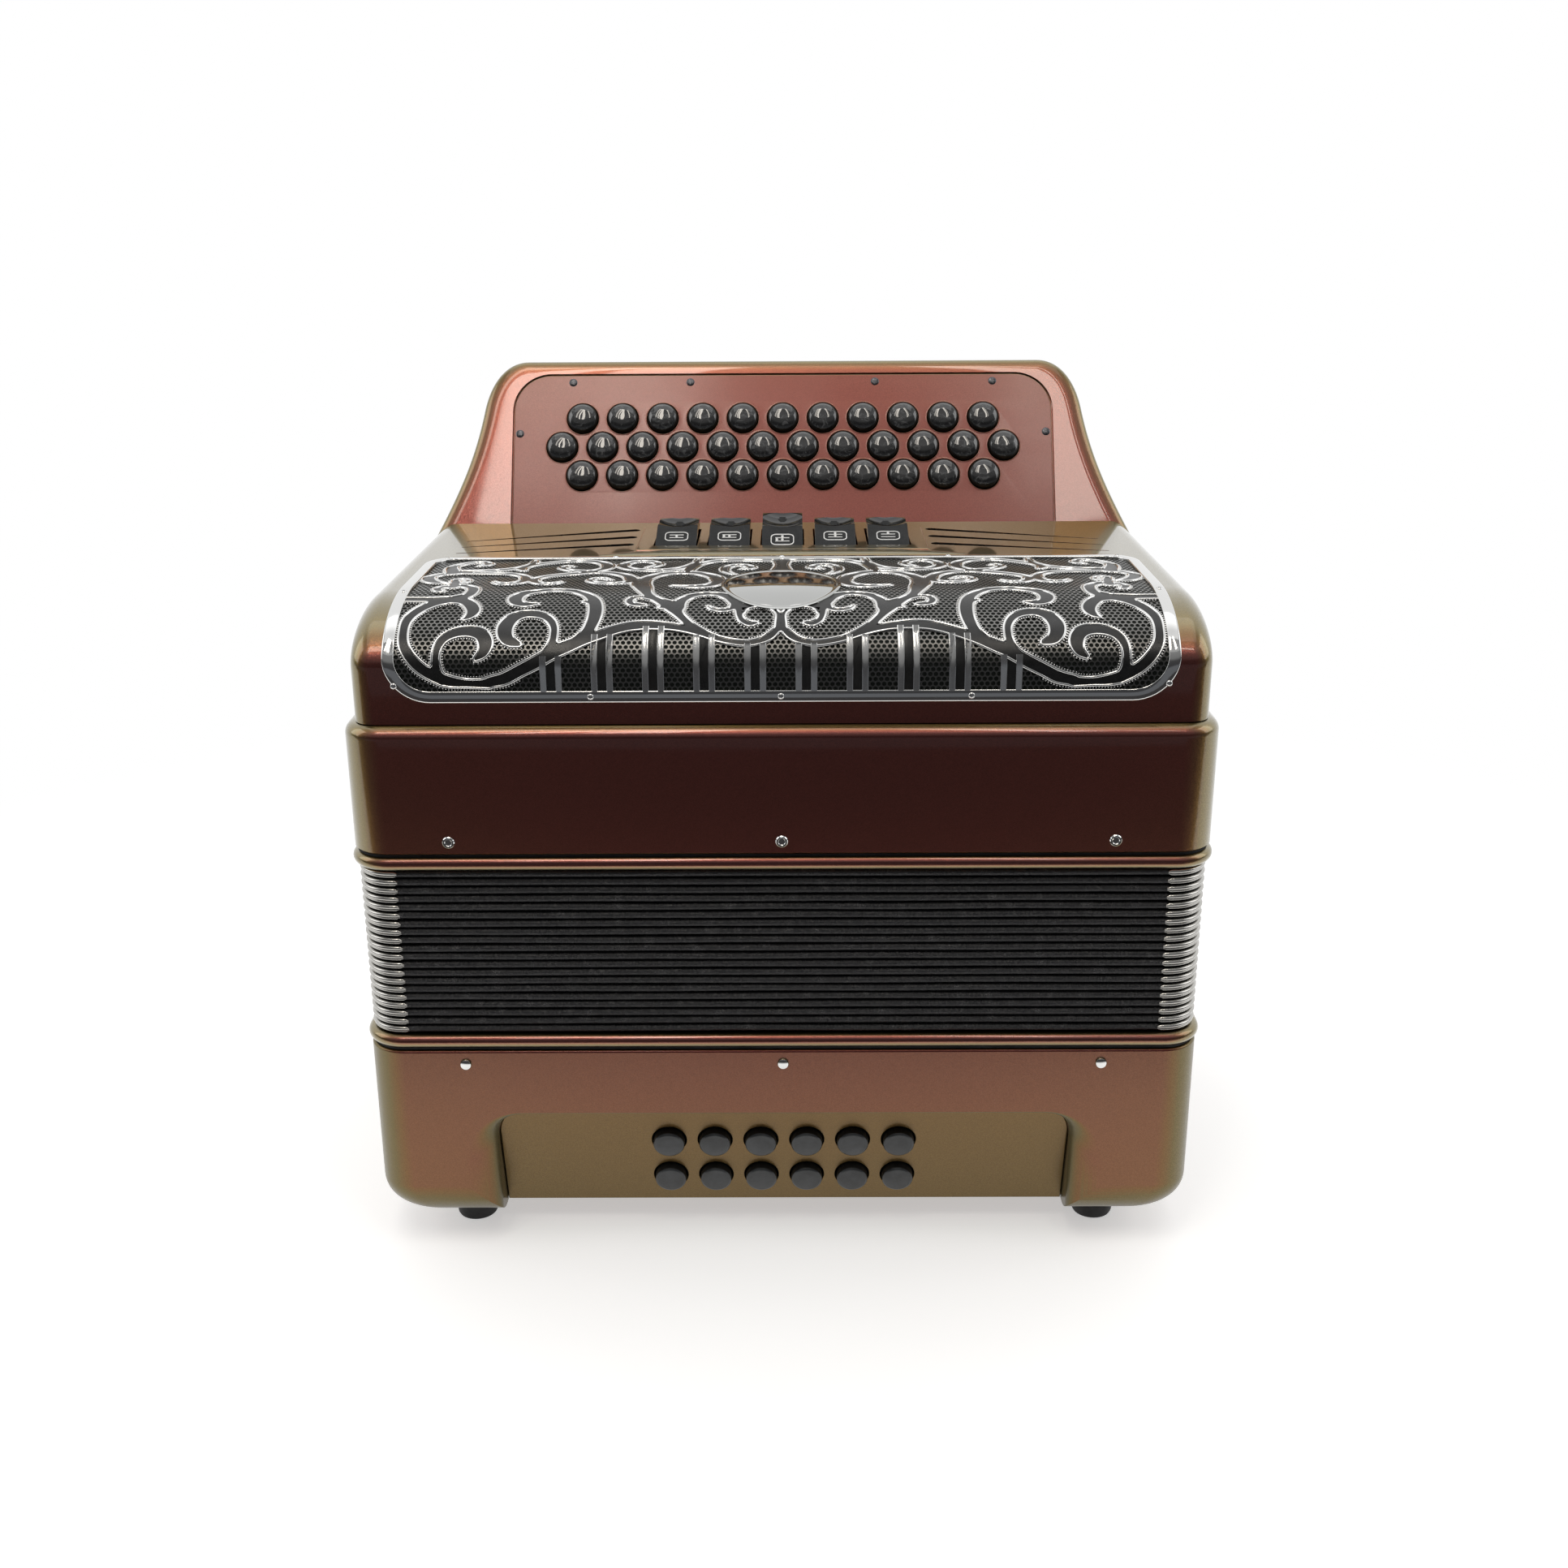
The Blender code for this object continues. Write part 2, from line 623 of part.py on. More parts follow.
def treble_body():
    """The treble box: band, soundboard with reed blocks, and the keyboard housing behind the cover."""
    rim = arc((RIM_RADIUS, BAND_TOP - RIM_RADIUS), (-RIM_RADIUS, RIM_RADIUS), 0, 90, 4)
    profile = [(0, BAND_BASE)] + rim + [(BODY_WALL, BAND_TOP), (BODY_WALL, BAND_BASE)]
    body = add_part("treble_body", wall_mesh(profile), PAINT)
    board_base = BAND_TOP - SOUNDBOARD_DROP - SOUNDBOARD_THICKNESS
    board = [body_ring(BODY_WALL / 2, board_base), body_ring(BODY_WALL / 2, board_base + SOUNDBOARD_THICKNESS)]
    combine(body, add_cutter("treble_soundboard", loft_mesh(board, closed=False)), "UNION")
    blocks, slots = reed_block_tools("treble", board_base, -1, REED_BLOCK_HEIGHT, REED_BLOCKS)
    combine(body, blocks, "UNION")
    combine(body, slots, "DIFFERENCE")
    housing = add_cutter("keyboard_housing", outline_mesh([housing_outline()], -HOUSING_THICKNESS, 0), KEYBOARD)
    round_edges(housing, HOUSING_EDGE_RADIUS, 4)
    combine(body, housing, "UNION")
    heel_half = FLARE_HALF - HEEL_INSET
    heel = add_cutter("housing_heel", outline_mesh([heel_outline()], -heel_half, heel_half), FROM_SIDE)
    round_edges(heel, HOUSING_EDGE_RADIUS, 4)
    combine(body, heel, "UNION")
    seat = arched_outline(
        PLATE_WIDTH + 2 * PLATE_GROOVE,
        PLATE_TOP + PLATE_GROOVE,
        PLATE_BOTTOM - PLATE_GROOVE,
        PLATE_CORNER + PLATE_GROOVE,
    )
    plate_depth = PLATE_THICKNESS + CLEARANCE
    plate_seat = add_cutter("plate_seat", outline_mesh([seat], -plate_depth, HOUSING_THICKNESS), KEYBOARD)
    combine(body, plate_seat, "DIFFERENCE")
    side = PLATE_WIDTH / 2 - PLATE_LEDGE
    space = rectangle(-side, side, -LEVER_MOUTH, PLATE_TOP - PLATE_LEDGE)
    lever_space = add_cutter("lever_space", outline_mesh([space], -LEVER_SPACE, HOUSING_THICKNESS), KEYBOARD)
    combine(body, lever_space, "DIFFERENCE")
    return body


def heel_outline():
    """Side view of the block that carries the leaning housing down to the body's back face."""
    base = BAND_TOP - RIM_RADIUS
    top = COVER_TOP + FLARE_FOOT
    lean = math.tan(PANEL_LEAN)
    into = HOUSING_THICKNESS / 2
    low_front = PANEL_FOOT - (COVER_TOP - base) * lean + into
    high_front = PANEL_FOOT - (COVER_TOP - top) * lean + into
    return [(low_front, base), (BODY_DEPTH, base), (BODY_DEPTH, top), (high_front, top)]


def treble_button_places():
    """Row, number and place on the keyboard of each treble button."""
    for row, count in enumerate(TREBLE_ROW_COUNTS, start=1):
        for number in range(count):
            x = (number - (count - 1) / 2) * TREBLE_PITCH
            yield row, number + 1, x, TREBLE_MIDDLE_ROW + (2 - row) * TREBLE_ROW_PITCH


def keyboard_plate():
    """The plate over the levers, with a hole for each treble button."""
    edge = arched_outline(PLATE_WIDTH, PLATE_TOP, PLATE_BOTTOM, PLATE_CORNER)
    hole = TREBLE_BUTTON_RADIUS + BUTTON_GAP
    holes = [circle(x, y, hole, HOLE_STEPS) for _, _, x, y in treble_button_places()]
    return add_part("keyboard_plate", outline_mesh([edge] + holes, -PLATE_THICKNESS, 0), PAINT, KEYBOARD)


def treble_buttons():
    """Domed buttons in three rows."""
    profile = button_profile(TREBLE_BUTTON_RADIUS, TREBLE_BUTTON_RISE, TREBLE_CROWN)
    for row, number, x, y in treble_button_places():
        place = KEYBOARD @ Matrix.Translation((x, y, 0))
        turned_piece(f"treble_button_r{row}_{number:02d}", profile, BUTTON_STEPS, BLACK_GLOSS, place)


def nose(offset, steps=8):
    """Side view of the cover's rounded front, offset outwards."""
    centre = (COVER_INSET + NOSE_DEPTH, COVER_TOP - NOSE_HEIGHT)
    return arc(centre, (NOSE_DEPTH + offset, NOSE_HEIGHT + offset), 180, 90, steps)


def cover_ring(x, offset):
    """The cover's side view at one place along X, run past the base and the back."""
    low = COVER_BASE - REACH
    back = BODY_DEPTH + REACH
    loop = [(COVER_INSET - offset, low)] + nose(offset) + [(back, COVER_TOP + offset), (back, low)]
    return [(x, y, z) for y, z in loop]


def cover_form(offset):
    """The cover's outer form, or its inner form for a negative offset, with rounded side edges."""
    half = BODY_WIDTH / 2 - COVER_INSET + offset
    radius = COVER_EDGE_RADIUS + offset
    right = []
    for across, up in arc((0, 0), (radius, radius), 0, 90, 5):
        right.append(cover_ring(half - radius + across, offset - radius + up))
    left = [[(-x, y, z) for x, y, z in ring] for ring in reversed(right)]
    return loft_mesh(right + left, closed=False)


def treble_casing():
    """The shell over the treble action: rounded nose, sound slots and a bezel for the switches."""
    cover = add_part("treble_casing", cover_form(0), PAINT)
    keyboard_foot = PANEL_FOOT - CLEARANCE / math.cos(PANEL_LEAN)
    lean = math.tan(PANEL_LEAN)
    kept = [
        (-REACH, COVER_BASE),
        (keyboard_foot - (COVER_TOP - COVER_BASE) * lean, COVER_BASE),
        (keyboard_foot + REACH * lean, COVER_TOP + REACH),
        (-REACH, COVER_TOP + REACH),
    ]
    combine(cover, add_cutter("cover_extent", outline_mesh([kept], -BODY_WIDTH, BODY_WIDTH), FROM_SIDE), "INTERSECT")
    combine(cover, add_cutter("cover_hollow", cover_form(-COVER_WALL)), "DIFFERENCE")
    bezel = add_cutter("switch_bezel", outline_mesh([bezel_outline()], -BEZEL_WIDTH / 2, BEZEL_WIDTH / 2), FROM_SIDE)
    round_edges(bezel, BEZEL_EDGE_RADIUS, 2)
    combine(cover, bezel, "UNION")
    side = SWITCH_WIDTH / 2 + BUTTON_GAP
    pockets = [
        rectangle(x - side, x + side, SWITCH_FRONT - 2 * BUTTON_GAP, SWITCH_FRONT + SWITCH_LENGTH + BUTTON_GAP)
        for x in switch_places()
    ]
    low, high = COVER_TOP - REACH, COVER_TOP + REACH
    combine(cover, add_cutter("switch_pockets", outline_mesh(pockets, low, high)), "DIFFERENCE")
    combine(cover, add_cutter("sound_slots", outline_mesh(slot_outlines(), low, high)), "DIFFERENCE")
    half = GRILLE_WIDTH / 2 - GRILLE_BORDER
    front_base = COVER_BASE + GRILLE_BOTTOM + GRILLE_BORDER
    window = block_mesh((-half, -REACH, front_base), (half, GRILLE_BACK - GRILLE_BORDER, high))
    combine(cover, add_cutter("grille_opening", window), "DIFFERENCE")
    return cover


def bezel_outline():
    """Side view of the low bezel, which slopes up from the grille to the switches."""
    top = COVER_TOP + BEZEL_RISE
    root = COVER_TOP - COVER_WALL / 2
    return [
        (BEZEL_FRONT, root),
        (BEZEL_FRONT, COVER_TOP + BEZEL_LIP),
        (SWITCH_FRONT - BEZEL_MARGIN, top),
        (BEZEL_BACK, top),
        (BEZEL_BACK, root),
    ]


def slot_outlines():
    """Tapered slots, fanned out on both sides of the switches, as seen from above."""
    loops = []
    for row in range(SLOT_ROWS):
        inner = SLOT_BACK - row * SLOT_PITCH
        outer = inner - (SLOT_SPLAY + row * SLOT_SPLAY_STEP)
        half = SLOT_WIDTH / 2
        for side in (-1, 1):
            wide_end = arc((SLOT_INNER_X + half, inner - half), (half, half), 90, 270, 4)
            tip = [(SLOT_OUTER_X, outer - half - SLOT_TIP), (SLOT_OUTER_X, outer - half + SLOT_TIP)]
            loops.append([(side * x, y) for x, y in wide_end + tip])
    return loops


def switch_places():
    """Where each register switch stands along X."""
    return [(number - (SWITCHES - 1) / 2) * SWITCH_PITCH for number in range(SWITCHES)]


def grille_shape(name):
    """The curved grille plate, trimmed to rounded corners and pierced by a row of windows."""
    near = CLEARANCE
    far = CLEARANCE + GRILLE_THICKNESS
    base = COVER_BASE + GRILLE_BOTTOM
    low = base - COVER_WALL
    back = GRILLE_BACK + COVER_WALL
    strip = [(COVER_INSET - far, low)] + nose(far, 12) + [(back, COVER_TOP + far), (back, COVER_TOP + near)]
    strip += list(reversed(nose(near, 12))) + [(COVER_INSET - near, low)]
    half = GRILLE_WIDTH / 2
    mesh = outline_mesh([strip], -half - COVER_WALL, half + COVER_WALL)
    mesh.transform(FROM_SIDE)
    plate = add_part(name, mesh, CHROME)
    front_view = [(x, -z) for x, z in arched_outline(GRILLE_WIDTH, -base, -COVER_TOP - REACH, GRILLE_FRONT_CORNER)]
    combine(plate, add_cutter("grille_front", outline_mesh([front_view], -BODY_DEPTH, REACH), FROM_FRONT), "INTERSECT")
    top_view = arched_outline(GRILLE_WIDTH + 2 * GRILLE_TRIM, GRILLE_BACK, -REACH, GRILLE_BACK_CORNER)
    combine(plate, add_cutter("grille_top", outline_mesh([top_view], 0, COVER_TOP + REACH)), "INTERSECT")
    sill = base + GRILLE_BORDER
    windows = []
    for number in range(WINDOWS):
        x = (number - (WINDOWS - 1) / 2) * WINDOW_PITCH
        windows.append(rectangle(x - WINDOW_WIDTH / 2, x + WINDOW_WIDTH / 2, sill, sill + WINDOW_HEIGHT))
    windows_tool = add_cutter("grille_windows", outline_mesh(windows, -NOSE_DEPTH, REACH), FROM_FRONT)
    combine(plate, windows_tool, "DIFFERENCE")
    return plate


def switch_outline():
    """Side view of a rocker around its pivot: a front facet, a hollow top and a round belly."""
    half = SWITCH_LENGTH / 2
    lip = BUTTON_GAP - SWITCH_PIVOT
    ridge = SWITCH_RISE - SWITCH_PIVOT
    hollow = arc((half / 2, ridge), (half / 2, SWITCH_HOLLOW), 180, 360, 5)
    belly = arc((0, 0), SWITCH_BELLY, 0, -180, 6)
    return [(-half, lip)] + hollow + [(half, lip)] + belly


def register_switches():
    """Five rockers. The chosen one has its back edge up."""
    for number, x in enumerate(switch_places(), start=1):
        half = SWITCH_WIDTH / 2
        mesh = outline_mesh([switch_outline()], -half, half)
        mesh.transform(FROM_SIDE)
        pivot = (x, SWITCH_FRONT + SWITCH_LENGTH / 2, COVER_TOP + SWITCH_PIVOT)
        place = Matrix.Translation(pivot)
        if number == CHOSEN_SWITCH:
            place = place @ Matrix.Rotation(SWITCH_TILT, 4, "X")
        add_part(f"register_switch_{number}", mesh, BLACK_GLOSS, place)


def build():
    """Model every sub-part."""
    bass_casing()
    bass_button_panel()
    bass_buttons()
    bellows_frame("bass_bellows_frame", BASS_WALL, BASS_FRAME_BASE, 1)
    bellows()
    bellows_frame("treble_bellows_frame", BODY_WALL, BAND_BASE - CLEARANCE, -1)
    treble_body()
    keyboard_plate()
    treble_buttons()
    treble_casing()
    grille_shape("grille")
    register_switches()


build()
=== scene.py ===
"""Looks of a three-row diatonic accordion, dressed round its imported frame.

X runs along the keyboard, +Y from the grille to the player, +Z up through the bellows.
Sizes are in millimetres from the body's front face and the floor; finished meshes are in metres.
"""
import math

import bmesh
import bpy
import numpy as np
from mathutils import Matrix, Vector
from mathutils.geometry import interpolate_bezier


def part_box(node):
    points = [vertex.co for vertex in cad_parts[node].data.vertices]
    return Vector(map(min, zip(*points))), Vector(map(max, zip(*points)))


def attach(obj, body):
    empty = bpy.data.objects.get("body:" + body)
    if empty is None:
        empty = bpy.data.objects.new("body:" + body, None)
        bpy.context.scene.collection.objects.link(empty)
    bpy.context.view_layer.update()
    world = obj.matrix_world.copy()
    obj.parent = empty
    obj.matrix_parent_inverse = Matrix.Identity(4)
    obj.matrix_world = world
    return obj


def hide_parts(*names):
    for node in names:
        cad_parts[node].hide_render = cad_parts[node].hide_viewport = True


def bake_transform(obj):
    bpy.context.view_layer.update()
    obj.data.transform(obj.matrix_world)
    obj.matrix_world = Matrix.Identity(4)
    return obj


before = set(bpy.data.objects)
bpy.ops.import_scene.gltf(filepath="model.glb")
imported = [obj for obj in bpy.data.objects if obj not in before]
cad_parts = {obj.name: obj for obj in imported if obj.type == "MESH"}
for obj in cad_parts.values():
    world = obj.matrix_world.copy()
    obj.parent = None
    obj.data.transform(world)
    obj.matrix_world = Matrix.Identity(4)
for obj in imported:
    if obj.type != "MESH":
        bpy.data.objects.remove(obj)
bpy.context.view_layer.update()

MM = 0.001
MIDDLE_Y = -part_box("treble_body")[0][1] / MM
REACH = 60.0  # how far cutters reach past the body

# Boxes, seen from above, and their levels
BODY_WIDTH = 343.6
BODY_DEPTH = 222.6
CORNER_RADIUS = 16.0
CLEARANCE = 0.3
FOOT_HEIGHT = 11.5
FOOT_INSET_X = 35.9
FOOT_INSET_Y = 30.0
BASS_TOP = 94.1
BELLOWS_BASE = 101.4
BELLOWS_TOP = 173.2
BAND_BASE = 180.5
BAND_TOP = 232.5
COVER_BASE = 232.8
COVER_TOP = 276.0

# Bass side
BASS_EDGE_RADIUS = 19.0
RECESS_WIDTH = 241.0
RECESS_TOP = 65.0
RECESS_DEPTH = 7.0
RECESS_CORNER = 15.0
RECESS_TILT = math.radians(14)
RECESS_FLARE = (13.0, 9.0, 2.2)
PANEL_THICKNESS = 2.0
STEM_POCKET = 18.0
BASS_COLUMNS = 6
BASS_ROWS = (20.0, 40.4)
BASS_PITCH = 19.5
BASS_BUTTON_RADIUS = 6.6
BASS_BUTTON_RISE = 3.6
BUTTON_GAP = 0.7
VISIBLE_GAP = 0.2
BUTTON_SKIRT = 3.5
STEM_RADIUS = 2.2
STEM_LENGTH = 7.0

# Bellows and their frames
BEAD_RADIUS = 2.8
BEAD_PROUD = 1.1
FRAME_HEIGHT = 6.7
FOLDS = 20
FOLD_PITCH = (BELLOWS_TOP - BELLOWS_BASE) / FOLDS
BELLOWS_INSET = 1.7
CAP_STRAIGHT = 2.6
FOLD_VALLEY = 8.5
FOLD_BACK = 11.0
FOLD_CREST = (1.5, 1.42)
FOLD_WAVE = 0.05

# Cover, keyboard and grille
RIM_RADIUS = 5.0
BAND_WALL = 14.0
COVER_INSET = 4.8
COVER_WALL = 3.0
WINDOW_HALF = 147.0
WINDOW_BACK = 104.5
WINDOW_LIP = 6.0
COVER_EDGE_RADIUS = 9.0
NOSE_DEPTH = 45.0
NOSE_HEIGHT = 22.0
PANEL_FOOT = 197.6
PANEL_LEAN = math.radians(27.9)
HOUSING_THICKNESS = 22.0
HOUSING_TOP = 83.6
HOUSING_TOP_HALF = 125.0
SHOULDER_HALF = 146.3
SHOULDER_DROP = 24.6
FLARE_HALF = 168.5
FLARE_FOOT = -6.0
FLARE_BEND = ((0.48, 0.625), (0.19, 0.375))
SHOULDER_BEND = ((-2.5, 13.5), (11.7, 0.0))
HOUSING_ROOT = 52.0
FRONT_ROLL = (8.0, 4.4)
BACK_ROLL = (4.5, 4.5)
ROLL_POWER = 0.78
PLATE_WIDTH = 262.4
PLATE_TOP = 75.2
PLATE_BOTTOM = -8.0
PLATE_CORNER = 18.0
PLATE_GROOVE = 0.8
PLATE_THICKNESS = 2.2
LEVER_SPACE = 15.0
LEVER_MARGIN = 8.0
LEVER_FOOT = -30.0
TREBLE_PITCH = 19.55
TREBLE_ROW_PITCH = 14.5
TREBLE_MIDDLE_ROW = 38.4
TREBLE_ROW_COUNTS = (11, 12, 11)
TREBLE_BUTTON_RADIUS = 7.5
TREBLE_BUTTON_RISE = 3.8

# Register switches and sound slots
SWITCHES = 5
SWITCH_PITCH = 24.0
SWITCH_WIDTH = 18.4
SWITCH_FRONT = 134.0
SWITCH_LENGTH = 37.5
SWITCH_RISE = 7.0
SWITCH_PIVOT = -4.0
SWITCH_TILT = math.radians(8.0)
SWITCH_BELLY = (16.0, 5.6)
FACET_SLOPE = 0.298
FINGER_RADIUS = 21.0
FINGER_DEPTH = 2.9
FINGER_BACK = 8.5
SIGN_RING = ((5.3, 4.1, 2.4), (4.85, 3.4, 1.9))
SIGN_LINE = (3.2, 0.3, 1.2)
SIGN_DOT = (0.6, 0.85)
SIGN_REEDS = {
    1: [(0, 0)],
    2: [(-2.5, 0), (0, 0)],
    3: [(-2.5, 0), (0, 0), (0, 2.3)],
    4: [(0, 0), (0, 2.3)],
    5: [(0, 2.3)],
}
CHOSEN_SWITCH = 3
BEZEL_FRONT = 124.0
BEZEL_BACK = 178.0
BEZEL_RISE = 1.5
BEZEL_WIDTH = 131.0
RIDGE_HALF = 81.0
RIDGE_FRONT = 113.5
RIDGE_BACK = 127.6
RIDGE_HEIGHT = 1.67
RIDGE_ROOT = 0.6
RIDGE_TAPER = (4.0, 8.0)
SLOT_ROWS = 3
SLOT_PITCH = 17.5
SLOT_INNER_X = 67.5
SLOT_OUTER_X = 144.6
SLOT_BACK = 181.0
SLOT_SPLAY = 25.5
SLOT_SPLAY_STEP = -3.5
SLOT_WIDTH = 5.6
SLOT_FIELD = (120.0, 185.0)

# Grille: X, and the way up and over the nose from its lower edge
GRILLE_BOTTOM = 9.0
GRILLE_HALF = 153.0
GRILLE_WAY = 127.0
GRILLE_LIFT = 1.5
GRILLE_FRONT_CORNER = 18.0
GRILLE_BACK_CORNER = 14.0
FRAME_WIDTH = 4.8
HOLE_PITCH = 2.2
CLOTH_INSET = 1.5
HOLE_RADIUS = 0.86
KEY_BAR_PITCH = 19.6
BADGE = (0.0, 69.0, 23.5, 26.3)

SHARP = math.radians(35)
PARTS = bpy.data.collections.new("accordion_looks")
bpy.context.scene.collection.children.link(PARTS)


# ---------------------------------------------------------------- meshes in millimetres


def mesh_of(points, faces, name="mesh"):
    """A mesh from points and faces."""
    mesh = bpy.data.meshes.new(name)
    mesh.from_pydata([tuple(p) for p in points], [], [tuple(f) for f in faces])
    return mesh


def tidy(mesh, gap=0.001):
    """Weld a mesh's seams and turn its faces outwards."""
    bm = bmesh.new()
    bm.from_mesh(mesh)
    bmesh.ops.remove_doubles(bm, verts=bm.verts, dist=gap)
    bmesh.ops.recalc_face_normals(bm, faces=bm.faces)
    bm.to_mesh(mesh)
    bm.free()
    return mesh


def joined(meshes):
    """One mesh from several."""
    bm = bmesh.new()
    for mesh in meshes:
        bm.from_mesh(mesh)
    result = bpy.data.meshes.new("joined")
    bm.to_mesh(result)
    bm.free()
    return result


def loft(rings, closed=False, capped=True):
    """Join rings of equal point counts. A closed loft joins its last ring to its first."""
    count = len(rings[0])
    points = [point for ring in rings for point in ring]
    pairs = [(row, row + 1) for row in range(len(rings) - 1)]
    if closed:
        pairs.append((len(rings) - 1, 0))
    faces = []
    for low, high in pairs:
        for here in range(count):
            after = (here + 1) % count
            faces.append((low * count + here, low * count + after, high * count + after, high * count + here))
    if capped and not closed:
        faces.append(tuple(range(count)))
        faces.append(tuple(range((len(rings) - 1) * count, len(rings) * count)))
    return tidy(mesh_of(points, faces))


def outline_mesh(loops, deep=0.0):
    """Faces filled between flat loops, with a depth both ways. A loop inside another is a hole."""
    curve = bpy.data.curves.new("outline", "CURVE")
    curve.dimensions = "2D"
    curve.fill_mode = "BOTH"
    curve.extrude = deep
    for loop in loops:
        spline = curve.splines.new("POLY")
        spline.points.add(len(loop) - 1)
        for point, (a, b) in zip(spline.points, loop):
            point.co = (a, b, 0, 1)
        spline.use_cyclic_u = True
    holder = bpy.data.objects.new("outline", curve)
    mesh = bpy.data.meshes.new_from_object(holder)
    bpy.data.objects.remove(holder)
    bpy.data.curves.remove(curve)
    return mesh


def filled(loops, low, high):
    """A solid plate between two heights, from flat loops."""
    mesh = outline_mesh(loops, (high - low) / 2)
    return tidy(moved(mesh, Matrix.Translation((0, 0, (low + high) / 2))))


def block(low, high):
    """A box between two corners."""
    size = Vector(high) - Vector(low)
    middle = (Vector(high) + Vector(low)) / 2
    bm = bmesh.new()
    bmesh.ops.create_cube(bm, size=1, matrix=Matrix.Translation(middle) @ Matrix.Diagonal((*size, 1)))
    mesh = bpy.data.meshes.new("block")
    bm.to_mesh(mesh)
    bm.free()
    return mesh


def moved(mesh, placement):
    """The mesh, put in its place."""
    mesh.transform(placement)
    return mesh


def settled(obj):
    """The object's mesh with its modifiers applied; the object goes."""
    graph = bpy.context.evaluated_depsgraph_get()
    mesh = bpy.data.meshes.new_from_object(obj.evaluated_get(graph))
    bpy.data.objects.remove(obj)
    return mesh


def held(mesh):
    """A passing object that holds a mesh while modifiers work on it."""
    obj = bpy.data.objects.new("held", mesh)
    PARTS.objects.link(obj)
    return obj


def carved(mesh, *tools, operation="DIFFERENCE"):
    """The mesh after exact Booleans with the tools."""
    obj = held(mesh)
    helpers = [held(tool) for tool in tools]
    for helper in helpers:
        modifier = obj.modifiers.new("carve", "BOOLEAN")
        modifier.operation = operation
        modifier.solver = "EXACT"
        modifier.object = helper
    result = settled(obj)
    for helper in helpers:
        bpy.data.objects.remove(helper)
    return result


def softened(mesh, width, steps, chosen=None):
    """Round the sharp edges, or only those that the test picks by their two ends."""
    bm = bmesh.new()
    bm.from_mesh(mesh)
    bmesh.ops.remove_doubles(bm, verts=bm.verts, dist=0.002)
    bmesh.ops.dissolve_degenerate(bm, edges=bm.edges, dist=0.002)
    edges = [
        edge
        for edge in bm.edges
        if len(edge.link_faces) == 2
        and edge.calc_face_angle(0) > SHARP
        and (chosen is None or chosen(edge.verts[0].co, edge.verts[1].co))
    ]
    bmesh.ops.bevel(
        bm, geom=edges, offset=width, segments=steps, profile=0.5, affect="EDGES", clamp_overlap=True
    )
    bm.to_mesh(mesh)
    bm.free()
    return mesh


def turned(profile, steps, placement):
    """A closed turned piece from a profile of radius and height, whose ends lie on the axis."""
    rings = []
    for radius, height in profile[1:-1]:
        rings.append([(radius * math.cos(a), radius * math.sin(a), height) for a in turns(steps)])
    body = loft(rings, capped=False)
    bm = bmesh.new()
    bm.from_mesh(body)
    for end, ring_start in ((profile[0], 0), (profile[-1], (len(rings) - 1) * steps)):
        bm.verts.ensure_lookup_table()
        tip = bm.verts.new((0, 0, end[1]))
        bm.verts.ensure_lookup_table()
        for here in range(steps):
            after = ring_start + (here + 1) % steps
            bm.faces.new((bm.verts[ring_start + here], bm.verts[after], tip))
    bmesh.ops.recalc_face_normals(bm, faces=bm.faces)
    bm.to_mesh(body)
    bm.free()
    return moved(body, placement)


def turns(steps):
    """Angles once round a circle."""
    return [2 * math.pi * step / steps for step in range(steps)]


# ---------------------------------------------------------------- outlines


def placed(across, along, origin=(0, 0, 0)):
    """A placement whose X is across and whose Y is along."""
    across = Vector(across)
    along = Vector(along)
    turn = Matrix((across, along, across.cross(along))).transposed().to_4x4()
    return Matrix.Translation(origin) @ turn


def leaning(y, z, lean):
    """The placement of a face: Y runs up it, Z points out of it, and its top leans back."""
    return placed((1, 0, 0), (0, math.sin(lean), math.cos(lean)), (0, y, z))


FROM_SIDE = placed((0, 1, 0), (0, 0, 1))
FROM_FRONT = placed((1, 0, 0), (0, 0, 1))
KEYBOARD = leaning(PANEL_FOOT, COVER_TOP, PANEL_LEAN)
BASS_FACE = leaning(RECESS_DEPTH, RECESS_TOP, -RECESS_TILT)


def arc(centre, radii, start, end, steps):
    """Points along an ellipse between two angles in degrees."""
    points = []
    for step in range(steps + 1):
        angle = math.radians(start + (end - start) * step / steps)
        points.append((centre[0] + radii[0] * math.cos(angle), centre[1] + radii[1] * math.sin(angle)))
    return points


def circle(x, y, radius, steps):
    """A closed loop of points round a circle."""
    return arc((x, y), (radius, radius), 0, 360, steps)[:-1]


def rectangle(low_x, high_x, low_y, high_y):
    """The four corners of a rectangle."""
    return [(low_x, low_y), (high_x, low_y), (high_x, high_y), (low_x, high_y)]


def arched(width, top, bottom, corner, steps=16):
    """An outline with two rounded top corners and a square foot."""
    side = width / 2
    right = arc((side - corner, top - corner), (corner, corner), 0, 90, steps)
    left = [(-x, y) for x, y in reversed(right)]
    return [(side, bottom)] + right + left + [(-side, bottom)]


def rounded_loop(half_x, half_y, radius, steps, run=0):
    """A rectangle with rounded corners round the origin, its straight sides split into short runs."""
    points = []
    for corner, (side_x, side_y) in enumerate(((1, 1), (-1, 1), (-1, -1), (1, -1))):
        centre = (side_x * (half_x - radius), side_y * (half_y - radius))
        bend = arc(centre, (radius, radius), 90 * corner, 90 * corner + 90, steps)
        if points and run:
            points += between(points[-1], bend[0], run)
        points += bend
    if run:
        points += between(points[-1], points[0], run)
    return points


def between(start, end, run):
    """Evenly spaced points between two points, without the ends."""
    count = max(1, round(math.dist(start, end) / run))
    return [
        (start[0] + (end[0] - start[0]) * step / count, start[1] + (end[1] - start[1]) * step / count)
        for step in range(1, count)
    ]


